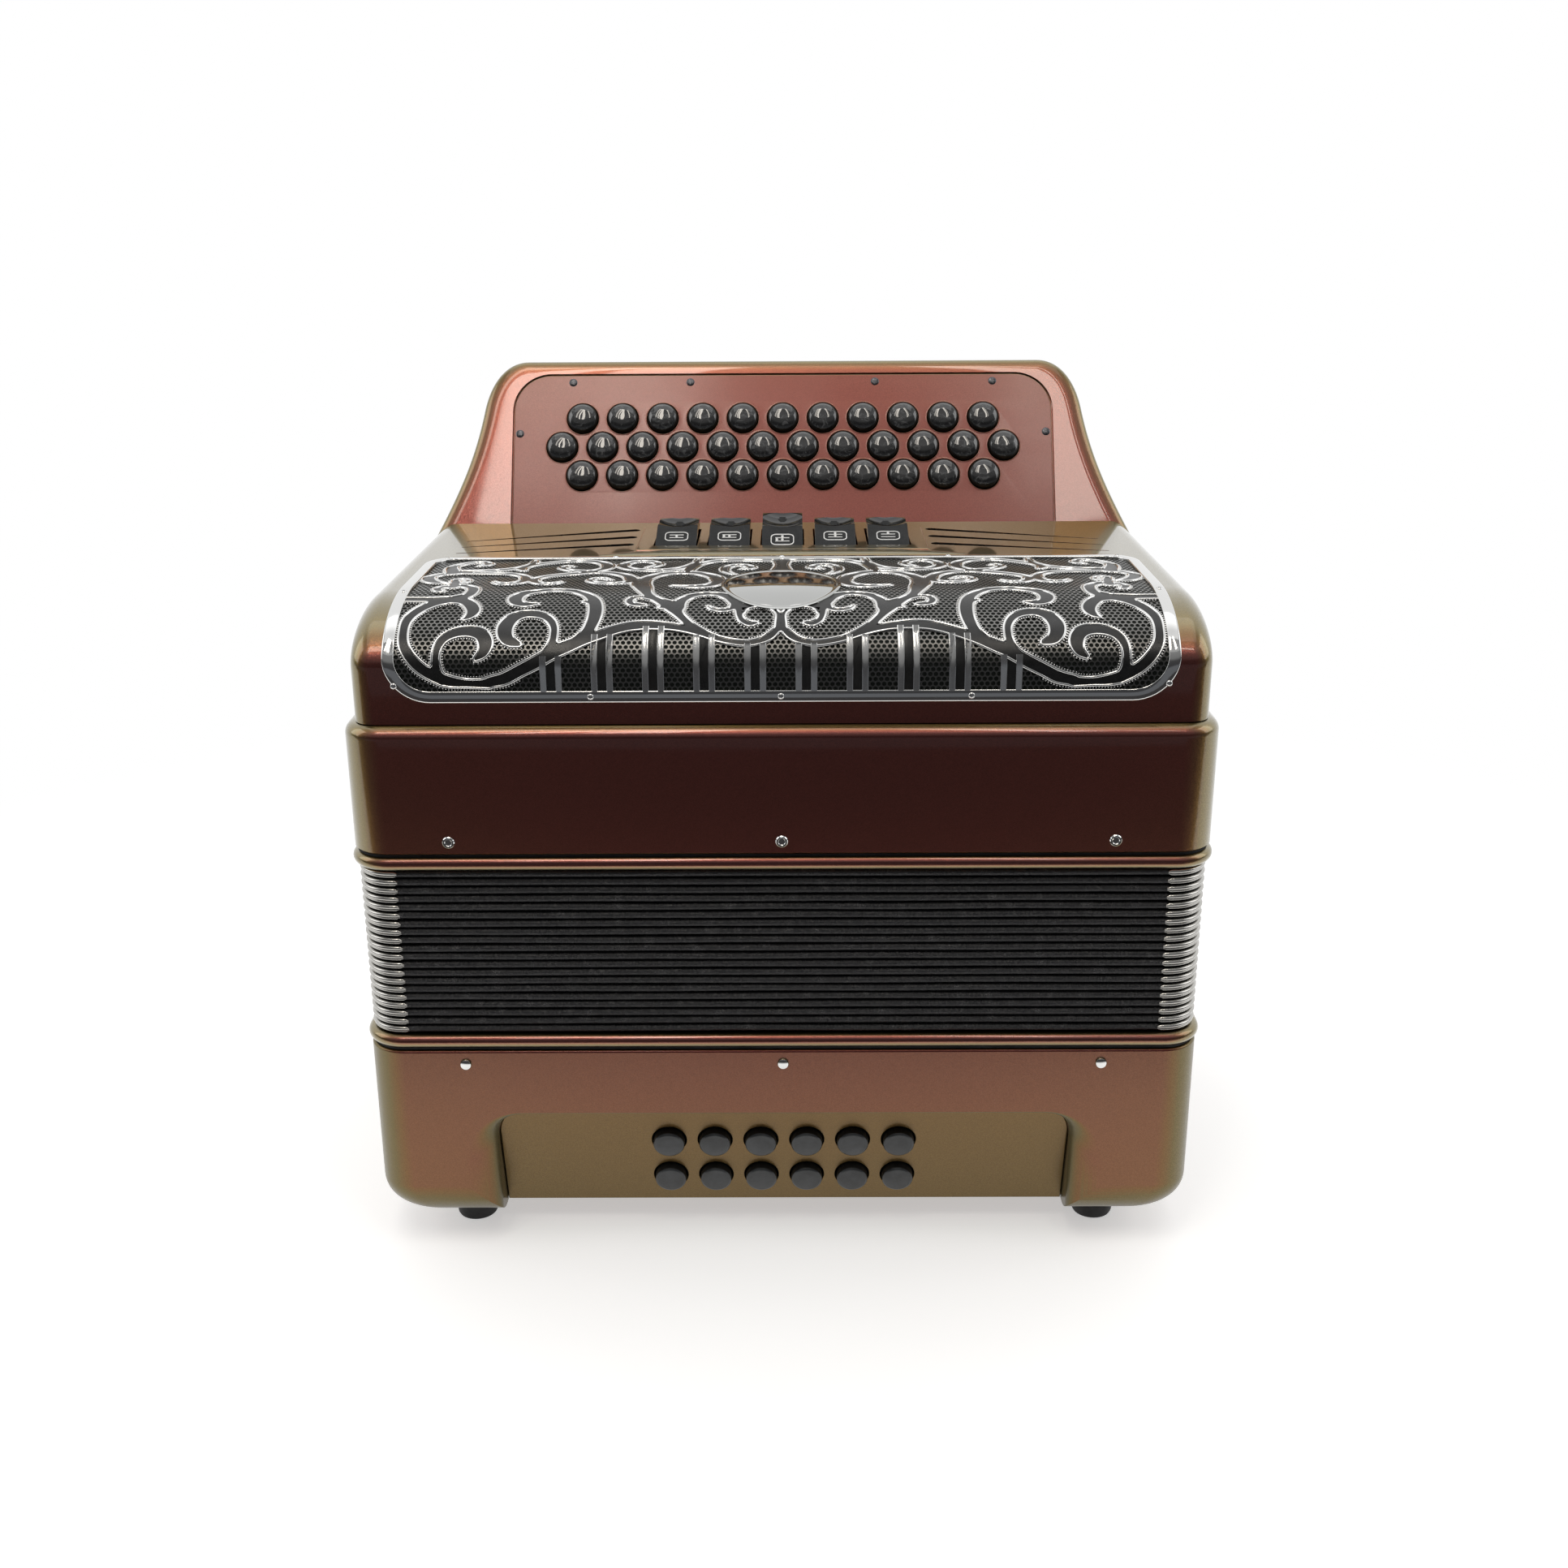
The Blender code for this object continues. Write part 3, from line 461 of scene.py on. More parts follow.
def body_ring(inset, z, radius=None, steps=12, run=0):
    """The boxes' outline at one height, drawn in by the inset."""
    radius = radius or max(CORNER_RADIUS - inset, 1.0)
    loop = rounded_loop(BODY_WIDTH / 2 - inset, BODY_DEPTH / 2 - inset, radius, steps, run)
    return [(x, y + BODY_DEPTH / 2, z) for x, y in loop]


# ---------------------------------------------------------------- finished pieces


def finish(name, mesh, body, looks, sharp=SHARP, weighted=False):
    """Put a millimetre mesh in its place in metres, and make it ride on its body."""
    mesh.transform(Matrix.Scale(MM, 4) @ Matrix.Translation((0, -MIDDLE_Y, 0)))
    mesh.materials.clear()
    for look in looks:
        mesh.materials.append(look)
    mesh.shade_smooth()
    mesh.set_sharp_from_angle(angle=sharp)
    if weighted:
        obj = held(mesh)
        modifier = obj.modifiers.new("flat_faces_stay_flat", "WEIGHTED_NORMAL")
        modifier.keep_sharp = True
        mesh = settled(obj)
    obj = bpy.data.objects.new(name, mesh)
    PARTS.objects.link(obj)
    if body:
        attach(obj, body)
    return obj


# ---------------------------------------------------------------- repeats


def link(source, output, target, socket):
    """Join one node's output to another's input."""
    source.id_data.links.new(source.outputs[output], target.inputs[socket])


def copies_group():
    """Geometry nodes that put a piece on every point, turned by the points' own values and sized by one given
    size.
    """
    tree = bpy.data.node_groups.new("copies_on_points", "GeometryNodeTree")
    face = tree.interface
    face.new_socket("Points", in_out="INPUT", socket_type="NodeSocketGeometry")
    face.new_socket("Piece", in_out="INPUT", socket_type="NodeSocketObject")
    face.new_socket("Look", in_out="INPUT", socket_type="NodeSocketMaterial")
    size = face.new_socket("Size", in_out="INPUT", socket_type="NodeSocketFloat")
    size.default_value = 1.0
    face.new_socket("Copies", in_out="OUTPUT", socket_type="NodeSocketGeometry")
    nodes = tree.nodes
    given = nodes.new("NodeGroupInput")
    result = nodes.new("NodeGroupOutput")
    piece = nodes.new("GeometryNodeObjectInfo")
    turn = nodes.new("GeometryNodeInputNamedAttribute")
    turn.data_type = "FLOAT_VECTOR"
    turn.inputs["Name"].default_value = "turn"
    put = nodes.new("GeometryNodeInstanceOnPoints")
    real = nodes.new("GeometryNodeRealizeInstances")
    look = nodes.new("GeometryNodeSetMaterial")
    link(given, "Points", put, "Points")
    link(given, "Piece", piece, "Object")
    link(piece, "Geometry", put, "Instance")
    link(turn, "Attribute", put, "Rotation")
    link(given, "Size", put, "Scale")
    link(put, "Instances", real, "Geometry")
    link(real, "Geometry", look, "Geometry")
    link(given, "Look", look, "Material")
    link(look, "Geometry", result, "Copies")
    return tree


COPIES = copies_group()


def repeated(piece, placements, look, size=1.0):
    """One mesh with a copy of the piece at each placement, made by the copying nodes."""
    points = mesh_of([placement.translation for placement in placements], [])
    turn = points.attributes.new("turn", "FLOAT_VECTOR", "POINT")
    for value, placement in zip(turn.data, placements):
        value.vector = placement.to_euler()
    pattern = held(piece)
    obj = held(points)
    modifier = obj.modifiers.new("copies", "NODES")
    modifier.node_group = COPIES
    chosen = {"Piece": pattern, "Look": look, "Size": size}
    for item in COPIES.interface.items_tree:
        if item.item_type == "SOCKET" and item.in_out == "INPUT" and item.name in chosen:
            modifier[item.identifier] = chosen[item.name]
    mesh = settled(obj)
    bpy.data.objects.remove(pattern)
    return mesh


# ---------------------------------------------------------------- bass side


def swept(profile, steps=12, run=0):
    """A closed section of inset and height, swept round the boxes' outline."""
    return loft([body_ring(inset, z, steps=steps, run=run) for inset, z in profile], closed=True)


def bass_case():
    """The bass box: rounded floor edge, a sloping recess with a flared mouth and a pocket behind the panel."""
    radius = BASS_EDGE_RADIUS
    rings = []
    for across, up in arc((0, 0), (radius, radius), 0, 90, 16):
        rings.append(body_ring(radius - up, FOOT_HEIGHT + radius - across, CORNER_RADIUS))
    rim = arc((1.0, BASS_TOP - 1.0), (-1.0, 1.0), 0, 90, 4)
    rings += [body_ring(inset, z, CORNER_RADIUS) for inset, z in rim]
    case = loft(rings[::-1])
    seat = PANEL_THICKNESS + CLEARANCE
    run = (RECESS_TOP + REACH) / math.cos(RECESS_TILT)
    mouth = moved(filled([arched(RECESS_WIDTH, 0, -run, RECESS_CORNER)], -seat, REACH), BASS_FACE)
    case = carved(carved(case, mouth), flared_mouth())
    drop = (RECESS_TOP - FOOT_HEIGHT) / math.cos(RECESS_TILT)
    half = RECESS_WIDTH / 2 - 4
    pocket = moved(filled([rectangle(-half, half, -drop + 4, -4)], -STEM_POCKET, 0), BASS_FACE)
    return carved(case, pocket)


def flared_mouth():
    """The cutter that flares the recess out to the casing's front in a soft curve, widest at the sides."""
    side, deep, above = RECESS_FLARE
    rings = []
    for step in range(13):
        back = deep * (1 - math.cos(math.radians(90 * step / 12)))
        spread = 1 - math.sqrt(max(1 - (1 - back / deep) ** 2, 0))
        wide, high = side * spread - 0.02, above * spread - 0.02
        top = RECESS_TOP - (RECESS_DEPTH - back) * math.tan(RECESS_TILT) + high
        loop = arched(RECESS_WIDTH + 2 * wide, top, 0, RECESS_CORNER + wide * 0.7)
        rings.append([(x, back, z) for x, z in loop])
    rings.insert(0, [(x, -20, z) for x, _, z in rings[0]])
    return loft(rings)


def rubber_feet():
    """Four short tapered rubber feet with a rounded tread edge."""
    root = FOOT_HEIGHT + 2
    profile = [(0, 0), (7.3, 0), (8.2, 0.4), (8.7, 1.4), (10.0, FOOT_HEIGHT), (10.0, root), (0, root)]
    feet = []
    for side_x in (-1, 1):
        for side_y in (-1, 1):
            x = side_x * (BODY_WIDTH / 2 - FOOT_INSET_X)
            y = BODY_DEPTH / 2 + side_y * (BODY_DEPTH / 2 - FOOT_INSET_Y)
            feet.append(turned(profile, 40, Matrix.Translation((x, y, 0))))
    return joined(feet)


def rounded_lip(lip, steps):
    """Insets and drops round a plate's upper edge, from its face to its side."""
    angles = [math.radians(90 * k / steps) for k in range(steps + 1)]
    return [(lip * (1 - math.sin(angle)), -lip * (1 - math.cos(angle))) for angle in angles]


def sheet_with_holes(edge, holes, deep, thickness, lip, dish=None):
    """A plate with a softened edge, pierced by round holes that may have a shaped lip."""
    steps = 40
    top_holes = [circle(x, y, dish[0][0] if dish else radius + lip, steps) for x, y, radius in holes]
    low_holes = [circle(x, y, radius, steps) for x, y, radius in holes]
    faces = [flat([inward(edge, lip)] + top_holes, deep), flat([edge] + low_holes, deep - thickness)]
    walls = [[(x, y, deep + down) for x, y in inward(edge, inset)] for inset, down in rounded_lip(lip, 6)]
    walls.append([(x, y, deep - thickness) for x, y in edge])
    faces.append(loft(walls, capped=False))
    for x, y, radius in holes:
        steps_down = dish or [(radius + inset, down) for inset, down in rounded_lip(lip, 5)]
        rings = [[(px, py, deep + down) for px, py in circle(x, y, wide, steps)] for wide, down in steps_down]
        rings.append([(px, py, deep - thickness) for px, py in circle(x, y, radius, steps)])
        faces.append(loft(rings, capped=False))
    return tidy(joined(faces), 0.004)


def flat(loops, height):
    """A flat face with holes at one height."""
    bm = bmesh.new()
    bm.from_mesh(outline_mesh(loops))
    bmesh.ops.remove_doubles(bm, verts=bm.verts, dist=0.001)
    mesh = bpy.data.meshes.new("flat")
    bm.to_mesh(mesh)
    bm.free()
    return moved(mesh, Matrix.Translation((0, 0, height)))


def inward(loop, distance):
    """A closed loop moved inwards by a distance, square to its sides."""
    if not distance:
        return list(loop)
    points = np.array(loop, float)
    before = points - np.roll(points, 1, 0)
    after = np.roll(points, -1, 0) - points
    area = np.sum(points[:, 0] * np.roll(points[:, 1], -1) - points[:, 1] * np.roll(points[:, 0], -1))
    side = 1.0 if area > 0 else -1.0
    normals = []
    for edge in (before, after):
        length = np.linalg.norm(edge, axis=1, keepdims=True)
        normals.append(side * np.stack([-edge[:, 1], edge[:, 0]], 1) / length)
    middle = normals[0] + normals[1]
    middle /= np.linalg.norm(middle, axis=1, keepdims=True)
    stretch = np.maximum(np.sum(middle * normals[0], 1), 0.5)
    return [tuple(p) for p in points + middle * (distance / stretch)[:, None]]


def bass_button_places():
    """Row, column and place on the panel of each bass button."""
    for row, drop in enumerate(BASS_ROWS, start=1):
        for column in range(BASS_COLUMNS):
            yield row, column + 1, (column - (BASS_COLUMNS - 1) / 2) * BASS_PITCH, -drop


def bass_panel():
    """The sheet at the back of the recess, with a softened hole for each button."""
    bottom = -(RECESS_TOP - FOOT_HEIGHT) / math.cos(RECESS_TILT) + CLEARANCE
    edge = arched(RECESS_WIDTH - 2 * CLEARANCE, -CLEARANCE, bottom, RECESS_CORNER - CLEARANCE)
    holes = [(x, y, BASS_BUTTON_RADIUS + BUTTON_GAP) for _, _, x, y in bass_button_places()]
    return moved(sheet_with_holes(edge, holes, 0, PANEL_THICKNESS, 0.4), BASS_FACE)


def button(radius, head, steps, place):
    """A button turned from its head's points, with its skirt and stem below."""
    foot = -BUTTON_SKIRT
    profile = [
        (0, foot - STEM_LENGTH),
        (STEM_RADIUS, foot - STEM_LENGTH),
        (STEM_RADIUS, foot),
        (radius, foot),
    ]
    return turned(profile + head, steps, place)


# ---------------------------------------------------------------- bellows


def fold_ring(inset, z):
    """The bellows' outline at one height, in short runs."""
    return body_ring(inset, z, steps=14, run=5)


def bellows_mesh():
    """Folded leathercloth: soft ridges, dark gaps between them and a slight waviness."""
    rings = []
    count = len(fold_ring(0, 0))
    way = np.arange(count) * 2 * math.pi / count
    rng = np.random.default_rng(7)
    waves = rng.uniform(0, 2 * math.pi, (FOLDS, 4))
    counts = rng.integers(3, 17, (FOLDS, 4))
    half = FOLD_PITCH / 2
    for fold in range(FOLDS):
        middle = BELLOWS_BASE + FOLD_PITCH * (fold + 0.5)
        wave = sum(np.sin(counts[fold, k] * way + waves[fold, k]) for k in range(4))
        ridge = arc((BELLOWS_INSET + FOLD_CREST[0], 0), (-FOLD_CREST[0], FOLD_CREST[1]), -90, 90, 8)
        section = [(FOLD_VALLEY, -half)] + ridge
        for inset, rise in section:
            free = 1 if abs(rise) < half else 0
            ring = fold_ring(inset, middle + rise)
            rings.append([(x, y, z + FOLD_WAVE * free * w) for (x, y, z), w in zip(ring, wave)])
    rings.append(fold_ring(FOLD_VALLEY, BELLOWS_TOP))
    inner = [fold_ring(FOLD_BACK, z) for z in (BELLOWS_TOP, BELLOWS_BASE)]
    return loft(rings + inner, closed=True)


def corner_cap(side_x, side_y):
    """One fold's metal corner cap: two rolls that wrap the ridge round a box corner."""
    radius = CORNER_RADIUS
    section = [
        (2.3, -1.2),
        (0.35, -1.3),
        (-0.12, -1.08),
        (-0.28, -0.78),
        (-0.16, -0.52),
        (0.04, -0.42),
        (-0.3, -0.2),
        (-0.62, 0.2),
        (-0.62, 0.68),
        (-0.3, 1.12),
        (0.35, 1.4),
        (2.3, 1.2),
    ]
    centre_x, centre_y = BODY_WIDTH / 2 - radius, BODY_DEPTH / 2 - radius
    straight = [CAP_STRAIGHT, CAP_STRAIGHT / 2]
    stations = [(centre_x - run, centre_y + radius, 90) for run in straight]
    for angle in range(90, -1, -9):
        turn = math.radians(angle)
        stations.append((centre_x + radius * math.cos(turn), centre_y + radius * math.sin(turn), angle))
    stations += [(centre_x + radius, centre_y - run, 0) for run in reversed(straight)]
    rings = []
    for x, y, angle in stations:
        out_x, out_y = math.cos(math.radians(angle)), math.sin(math.radians(angle))
        swell = 0.45 if (x, y, angle) in (stations[0], stations[-1]) else 1.0
        ring = []
        for inset, rise in section:
            depth = BELLOWS_INSET + (inset * swell if inset < 1 else inset)
            place = (side_x * (x - out_x * depth), side_y * (y - out_y * depth) + BODY_DEPTH / 2)
            ring.append((*place, rise * swell))
        rings.append(ring)
    return loft(rings)


def corner_caps(look):
    """The caps of every fold, at all four corners."""
    heights = [BELLOWS_BASE + FOLD_PITCH * (fold + 0.5) for fold in range(FOLDS)]
    places = [Matrix.Translation((0, 0, z)) for z in heights]
    corners = joined([corner_cap(x, y) for x in (-1, 1) for y in (-1, 1)])
    return repeated(corners, places, look)


def frame_bead(seat, direction):
    """A bellows frame: a flat lip and the half-round bead that stands proud of the boxes."""
    lip = FRAME_HEIGHT - 2 * BEAD_RADIUS
    middle = BEAD_RADIUS - BEAD_PROUD
    bead = arc((middle, lip + BEAD_RADIUS), (-BEAD_RADIUS, BEAD_RADIUS), -90, 90, 20)
    profile = [(9.0, 0.0), (BEAD_PROUD, 0.0), (BEAD_PROUD, lip)] + bead + [(9.0, FRAME_HEIGHT)]
    return swept([(inset, seat + direction * rise) for inset, rise in profile], steps=14)


# ---------------------------------------------------------------- treble box and keyboard


def treble_band():
    """The band under the cover, with a rolled upper rim."""
    rim = arc((RIM_RADIUS, BAND_TOP - RIM_RADIUS), (-RIM_RADIUS, RIM_RADIUS), 0, 90, 14)
    profile = [(0.6, BAND_BASE), (0.0, BAND_BASE + 0.6)] + rim + [(BAND_WALL, BAND_TOP), (BAND_WALL, BAND_BASE)]
    return swept(profile, steps=16)


def housing_outline():
    """The keyboard housing's outline on its leaning face, with rounded shoulders and flared sides."""
    shoulder = Vector((SHOULDER_HALF, HOUSING_TOP - SHOULDER_DROP))
    foot_point = Vector((FLARE_HALF, FLARE_FOOT))
    spread = foot_point - shoulder
    low_pull, high_pull = [shoulder + spread * Vector(bend) for bend in FLARE_BEND]
    flare = interpolate_bezier(foot_point, low_pull, high_pull, shoulder, 26)
    top_end = Vector((HOUSING_TOP_HALF, HOUSING_TOP))
    side_pull, top_pull = [Vector(bend) for bend in SHOULDER_BEND]
    corner = interpolate_bezier(shoulder, shoulder + side_pull, top_end + top_pull, top_end, 26)
    right = [(FLARE_HALF, -HOUSING_ROOT)] + [tuple(point) for point in flare + corner[1:]]
    return right + [(-x, y) for x, y in reversed(right)]


def keyboard_housing():
    """The leaning housing with a wide rolled rim, its heel, the plate's seat and the levers' space."""
    edge = housing_outline()
    rings = []
    for angle in range(0, 91, 9):
        turn = math.radians(angle)
        across, down = math.sin(turn) ** ROLL_POWER, math.cos(turn) ** ROLL_POWER
        rings.append((FRONT_ROLL[0] * (1 - across), -FRONT_ROLL[1] * (1 - down)))
    for angle in range(0, 91, 15):
        turn = math.radians(angle)
        depth = BACK_ROLL[1] * (1 - math.sin(turn)) - HOUSING_THICKNESS
        rings.append((BACK_ROLL[0] * (1 - math.cos(turn)), depth))
    slab = loft([[(x, y, depth) for x, y in inward(edge, inset)] for inset, depth in rings])
    slab = moved(slab, KEYBOARD)
    base = BAND_TOP - RIM_RADIUS
    top = COVER_TOP + FLARE_FOOT
    lean = math.tan(PANEL_LEAN)
    into = HOUSING_THICKNESS / 2
    side_view = [
        (PANEL_FOOT - (COVER_TOP - base) * lean + into, base),
        (BODY_DEPTH, base),
        (BODY_DEPTH, top),
        (PANEL_FOOT - (COVER_TOP - top) * lean + into, top),
    ]
    half = FLARE_HALF - 1
    heel = softened(moved(filled([side_view], -half, half), FROM_SIDE), 4.5, 6)
    housing = carved(slab, heel, operation="UNION")
    wide = PLATE_WIDTH + 2 * PLATE_GROOVE
    seat_edge = arched(wide, PLATE_TOP + PLATE_GROOVE, PLATE_BOTTOM - PLATE_GROOVE, PLATE_CORNER + PLATE_GROOVE)
    seat = moved(filled([seat_edge], -PLATE_THICKNESS - CLEARANCE, 20), KEYBOARD)
    housing = carved(housing, seat)
    side = PLATE_WIDTH / 2 - LEVER_MARGIN
    space = moved(
        filled([rectangle(-side, side, LEVER_FOOT, PLATE_TOP - LEVER_MARGIN)], -LEVER_SPACE, 20), KEYBOARD
    )
    return carved(housing, space)


def treble_button_places():
    """Row, number and place on the keyboard of each treble button."""
    for row, count in enumerate(TREBLE_ROW_COUNTS, start=1):
        for number in range(count):
            x = (number - (count - 1) / 2) * TREBLE_PITCH
            yield row, number + 1, x, TREBLE_MIDDLE_ROW + (2 - row) * TREBLE_ROW_PITCH


def keyboard_plate():
    """The plate over the levers, with a low raised lip round the hole of each button."""
    edge = arched(PLATE_WIDTH, PLATE_TOP, PLATE_BOTTOM, PLATE_CORNER, 20)
    hole = TREBLE_BUTTON_RADIUS + VISIBLE_GAP
    lip = ((0.75, 0.0), (0.6, 0.06), (0.4, 0.09), (0.2, 0.05), (0.05, -0.1), (0, -0.5))
    dish = [(hole + out, rise) for out, rise in lip]
    holes = [(x, y, hole) for _, _, x, y in treble_button_places()]
    return moved(sheet_with_holes(edge, holes, 0, PLATE_THICKNESS, 0.45, dish), KEYBOARD)


# ---------------------------------------------------------------- cover


def nose(offset, steps=8):
    """Side view of the cover's rounded front, offset outwards."""
    centre = (COVER_INSET + NOSE_DEPTH, COVER_TOP - NOSE_HEIGHT)
    return arc(centre, (NOSE_DEPTH + offset, NOSE_HEIGHT + offset), 180, 90, steps)


def cover_form(offset):
    """The cover's outer form, or its inner form for a negative offset, with rounded side edges."""
    half = BODY_WIDTH / 2 - COVER_INSET + offset
    radius = COVER_EDGE_RADIUS + offset
    low = COVER_BASE - REACH
    back = BODY_DEPTH + REACH
    right = []
    for across, up in arc((0, 0), (radius, radius), 0, 90, 12):
        lift = offset - radius + up
        loop = [(COVER_INSET - lift, low)] + nose(lift, 24) + [(back, COVER_TOP + lift), (back, low)]
        right.append([(half - radius + across, y, z) for y, z in loop])
    left = [[(-x, y, z) for x, y, z in ring] for ring in reversed(right)]
    return loft(right + left)


def slot_outlines():
    """Tapered slots, fanned out on both sides of the switches, as seen from above."""
    loops = []
    for row in range(SLOT_ROWS):
        inner = SLOT_BACK - row * SLOT_PITCH
        outer = inner - (SLOT_SPLAY + row * SLOT_SPLAY_STEP)
        half = SLOT_WIDTH / 2
        for side in (-1, 1):
            wide_end = arc((SLOT_INNER_X + half, inner - half), (half, half), 90, 270, 12)
            tip = arc((SLOT_OUTER_X, outer - half), (0.5, 0.5), -80, 80, 4)
            loops.append([(side * x, y) for x, y in wide_end + tip])
    return loops


def switch_places():
    """Where each register switch stands along X."""
    return [(number - (SWITCHES - 1) / 2) * SWITCH_PITCH for number in range(SWITCHES)]


def switch_pockets():
    """The cutter for the holes that the switches sit in."""
    side = SWITCH_WIDTH / 2 + BUTTON_GAP
    front = SWITCH_FRONT - 2 * BUTTON_GAP
    back = SWITCH_FRONT + SWITCH_LENGTH + BUTTON_GAP
    holes = [rectangle(x - side, x + side, front, back) for x in switch_places()]
    return filled(holes, COVER_TOP - 10, COVER_TOP + 20)


def by_slots(x, y):
    """Whether a place seen from above is among the sound slots."""
    return abs(x) > SLOT_INNER_X - 1 and SLOT_FIELD[0] < y < SLOT_FIELD[1]


def cover_mesh():
    """The shell over the treble action: rounded nose, sound slots, switch pockets and grille opening."""
    foot = PANEL_FOOT - CLEARANCE / math.cos(PANEL_LEAN)
    lean = math.tan(PANEL_LEAN)
    kept = [
        (-REACH, COVER_BASE),
        (foot - (COVER_TOP - COVER_BASE) * lean, COVER_BASE),
        (foot + REACH * lean, COVER_TOP + REACH),
        (-REACH, COVER_TOP + REACH),
    ]
    extent = moved(filled([kept], -BODY_WIDTH, BODY_WIDTH), FROM_SIDE)
    cover = carved(cover_form(0), extent, operation="INTERSECT")
    cover = carved(cover, cover_form(-COVER_WALL))
    low, high = COVER_TOP - 10, COVER_TOP + 20
    window_foot = COVER_BASE + GRILLE_BOTTOM + WINDOW_LIP
    window = block((-WINDOW_HALF, -REACH, window_foot), (WINDOW_HALF, WINDOW_BACK, high))
    cover = carved(cover, switch_pockets(), filled(slot_outlines(), low, high), window)

    def slot_edge(one, other):
        return all(abs(p.z - COVER_TOP) < 0.01 and by_slots(p.x, p.y) for p in (one, other))

    return softened(cover, 0.6, 3, slot_edge)


def platform_mesh():
    """The low platform round the switches."""
    half = BEZEL_WIDTH / 2
    profile = rectangle(BEZEL_FRONT, BEZEL_BACK, COVER_TOP - 1.5, COVER_TOP + BEZEL_RISE)
    slab = softened(moved(filled([profile], -half, half), FROM_SIDE), 1.1, 4)
    return carved(slab, switch_pockets())


def ridge_mesh():
    """The rounded ridge in front of the switches: it rises from the grille and tapers off at both ends."""
    rings = []
    for step in range(41):
        share = step / 20 - 1
        swell = 1 - abs(share) ** 5
        height = 0.05 + RIDGE_HEIGHT * swell
        front = RIDGE_FRONT + RIDGE_TAPER[0] * (1 - swell)
        back = RIDGE_BACK - RIDGE_TAPER[1] * (1 - swell)
        middle, half = (front + back) / 2, (back - front) / 2
        ring = []
        for angle in (math.pi * k / 12 for k in range(13)):
            up = COVER_TOP - RIDGE_ROOT + (height + RIDGE_ROOT) * math.sin(angle) ** 0.7
            ring.append((RIDGE_HALF * share, middle + half * math.cos(angle), up))
        rings.append(ring)
    return loft(rings)


def switch_mesh(number, x):
    """One rocker: a sloping front facet, a glossy top hollowed by a finger and a round belly."""
    half = SWITCH_LENGTH / 2
    lip = BUTTON_GAP - SWITCH_PIVOT
    ridge = SWITCH_RISE - SWITCH_PIVOT
    outline = [(-half, lip), (0, ridge), (half, ridge), (half, lip)] + arc((0, 0), SWITCH_BELLY, 0, -180, 16)
    width = SWITCH_WIDTH / 2
    body = softened(moved(filled([outline], -width, width), FROM_SIDE), 0.55, 4)
    ball = bmesh.new()
    centre = Matrix.Translation((0, FINGER_BACK, ridge + FINGER_RADIUS - FINGER_DEPTH))
    bmesh.ops.create_uvsphere(ball, u_segments=96, v_segments=64, radius=FINGER_RADIUS, matrix=centre)
    tool = bpy.data.meshes.new("ball")
    ball.to_mesh(tool)
    ball.free()
    return moved(carved(body, tool), switch_place(number, x))


def switch_place(number, x):
    """Where a switch's pivot is, turned for the chosen one."""
    place = Matrix.Translation((x, SWITCH_FRONT + SWITCH_LENGTH / 2, COVER_TOP + SWITCH_PIVOT))
    if number == CHOSEN_SWITCH:
        place = place @ Matrix.Rotation(SWITCH_TILT, 4, "X")
    return place


def register_sign(number, x):
    """The sign of one register: a rounded frame, two lines and the dots of the reeds that sound."""
    half = SWITCH_LENGTH / 2
    lip = BUTTON_GAP - SWITCH_PIVOT
    ridge = SWITCH_RISE - SWITCH_PIVOT
    slope = math.atan2(ridge - lip, half)
    face = Matrix.Translation((0, -half, lip)) @ Matrix.Rotation(slope, 4, "X")
    middle = math.hypot(half, ridge - lip) * 0.48

    def strokes(outlines, rise):
        loops = [[(a, b + middle) for a, b in outline] for outline in outlines]
        return filled(loops, -0.05, rise)

    ring = strokes([rounded_loop(*size, 8) for size in SIGN_RING], 0.06)
    long, thick, apart = SIGN_LINE
    lines = [strokes([rectangle(-long, long, y - thick, y + thick)], 0.06) for y in (-apart, apart)]
    spots = [strokes([arc(place, SIGN_DOT, 0, 360, 20)[:-1]], 0.08) for place in SIGN_REEDS[number]]
    mark = moved(joined([ring] + lines + spots), face)
    return moved(mark, switch_place(number, x))


# ---------------------------------------------------------------- grille, drawn flat and bent over the nose


def nose_table():
    """The grille's surface as a table: way from the lower edge, Y, Z and the outward normal."""
    low = COVER_BASE + GRILLE_BOTTOM
    centre = (COVER_INSET + NOSE_DEPTH, COVER_TOP - NOSE_HEIGHT)
    points = [(COVER_INSET, low, -1.0, 0.0), (COVER_INSET, centre[1], -1.0, 0.0)]
    for y, z in nose(0, 160)[1:]:
        normal = Vector(((y - centre[0]) / NOSE_DEPTH**2, (z - centre[1]) / NOSE_HEIGHT**2)).normalized()
        points.append((y, z, normal.x, normal.y))
    points.append((200.0, COVER_TOP, 0.0, 1.0))
    table = np.array(points)
    outer = table[:, :2] + GRILLE_LIFT * table[:, 2:]
    way = np.concatenate([[0], np.cumsum(np.linalg.norm(np.diff(outer, axis=0), axis=1))])
    return np.column_stack([way, table])


NOSE = nose_table()


def wrapped(mesh):
    """Bend a flat mesh of X, way up and height over the cover's nose."""
    count = len(mesh.vertices)
    flat_points = np.empty(count * 3)
    mesh.vertices.foreach_get("co", flat_points)
    flat_points = flat_points.reshape(-1, 3)
    y, z, ny, nz = [np.interp(flat_points[:, 1], NOSE[:, 0], NOSE[:, k]) for k in (1, 2, 3, 4)]
    length = np.hypot(ny, nz)
    lift = flat_points[:, 2] / length
    bent = np.column_stack([flat_points[:, 0], y + ny * lift, z + nz * lift])
    mesh.vertices.foreach_set("co", bent.ravel())
    mesh.update()
    return mesh


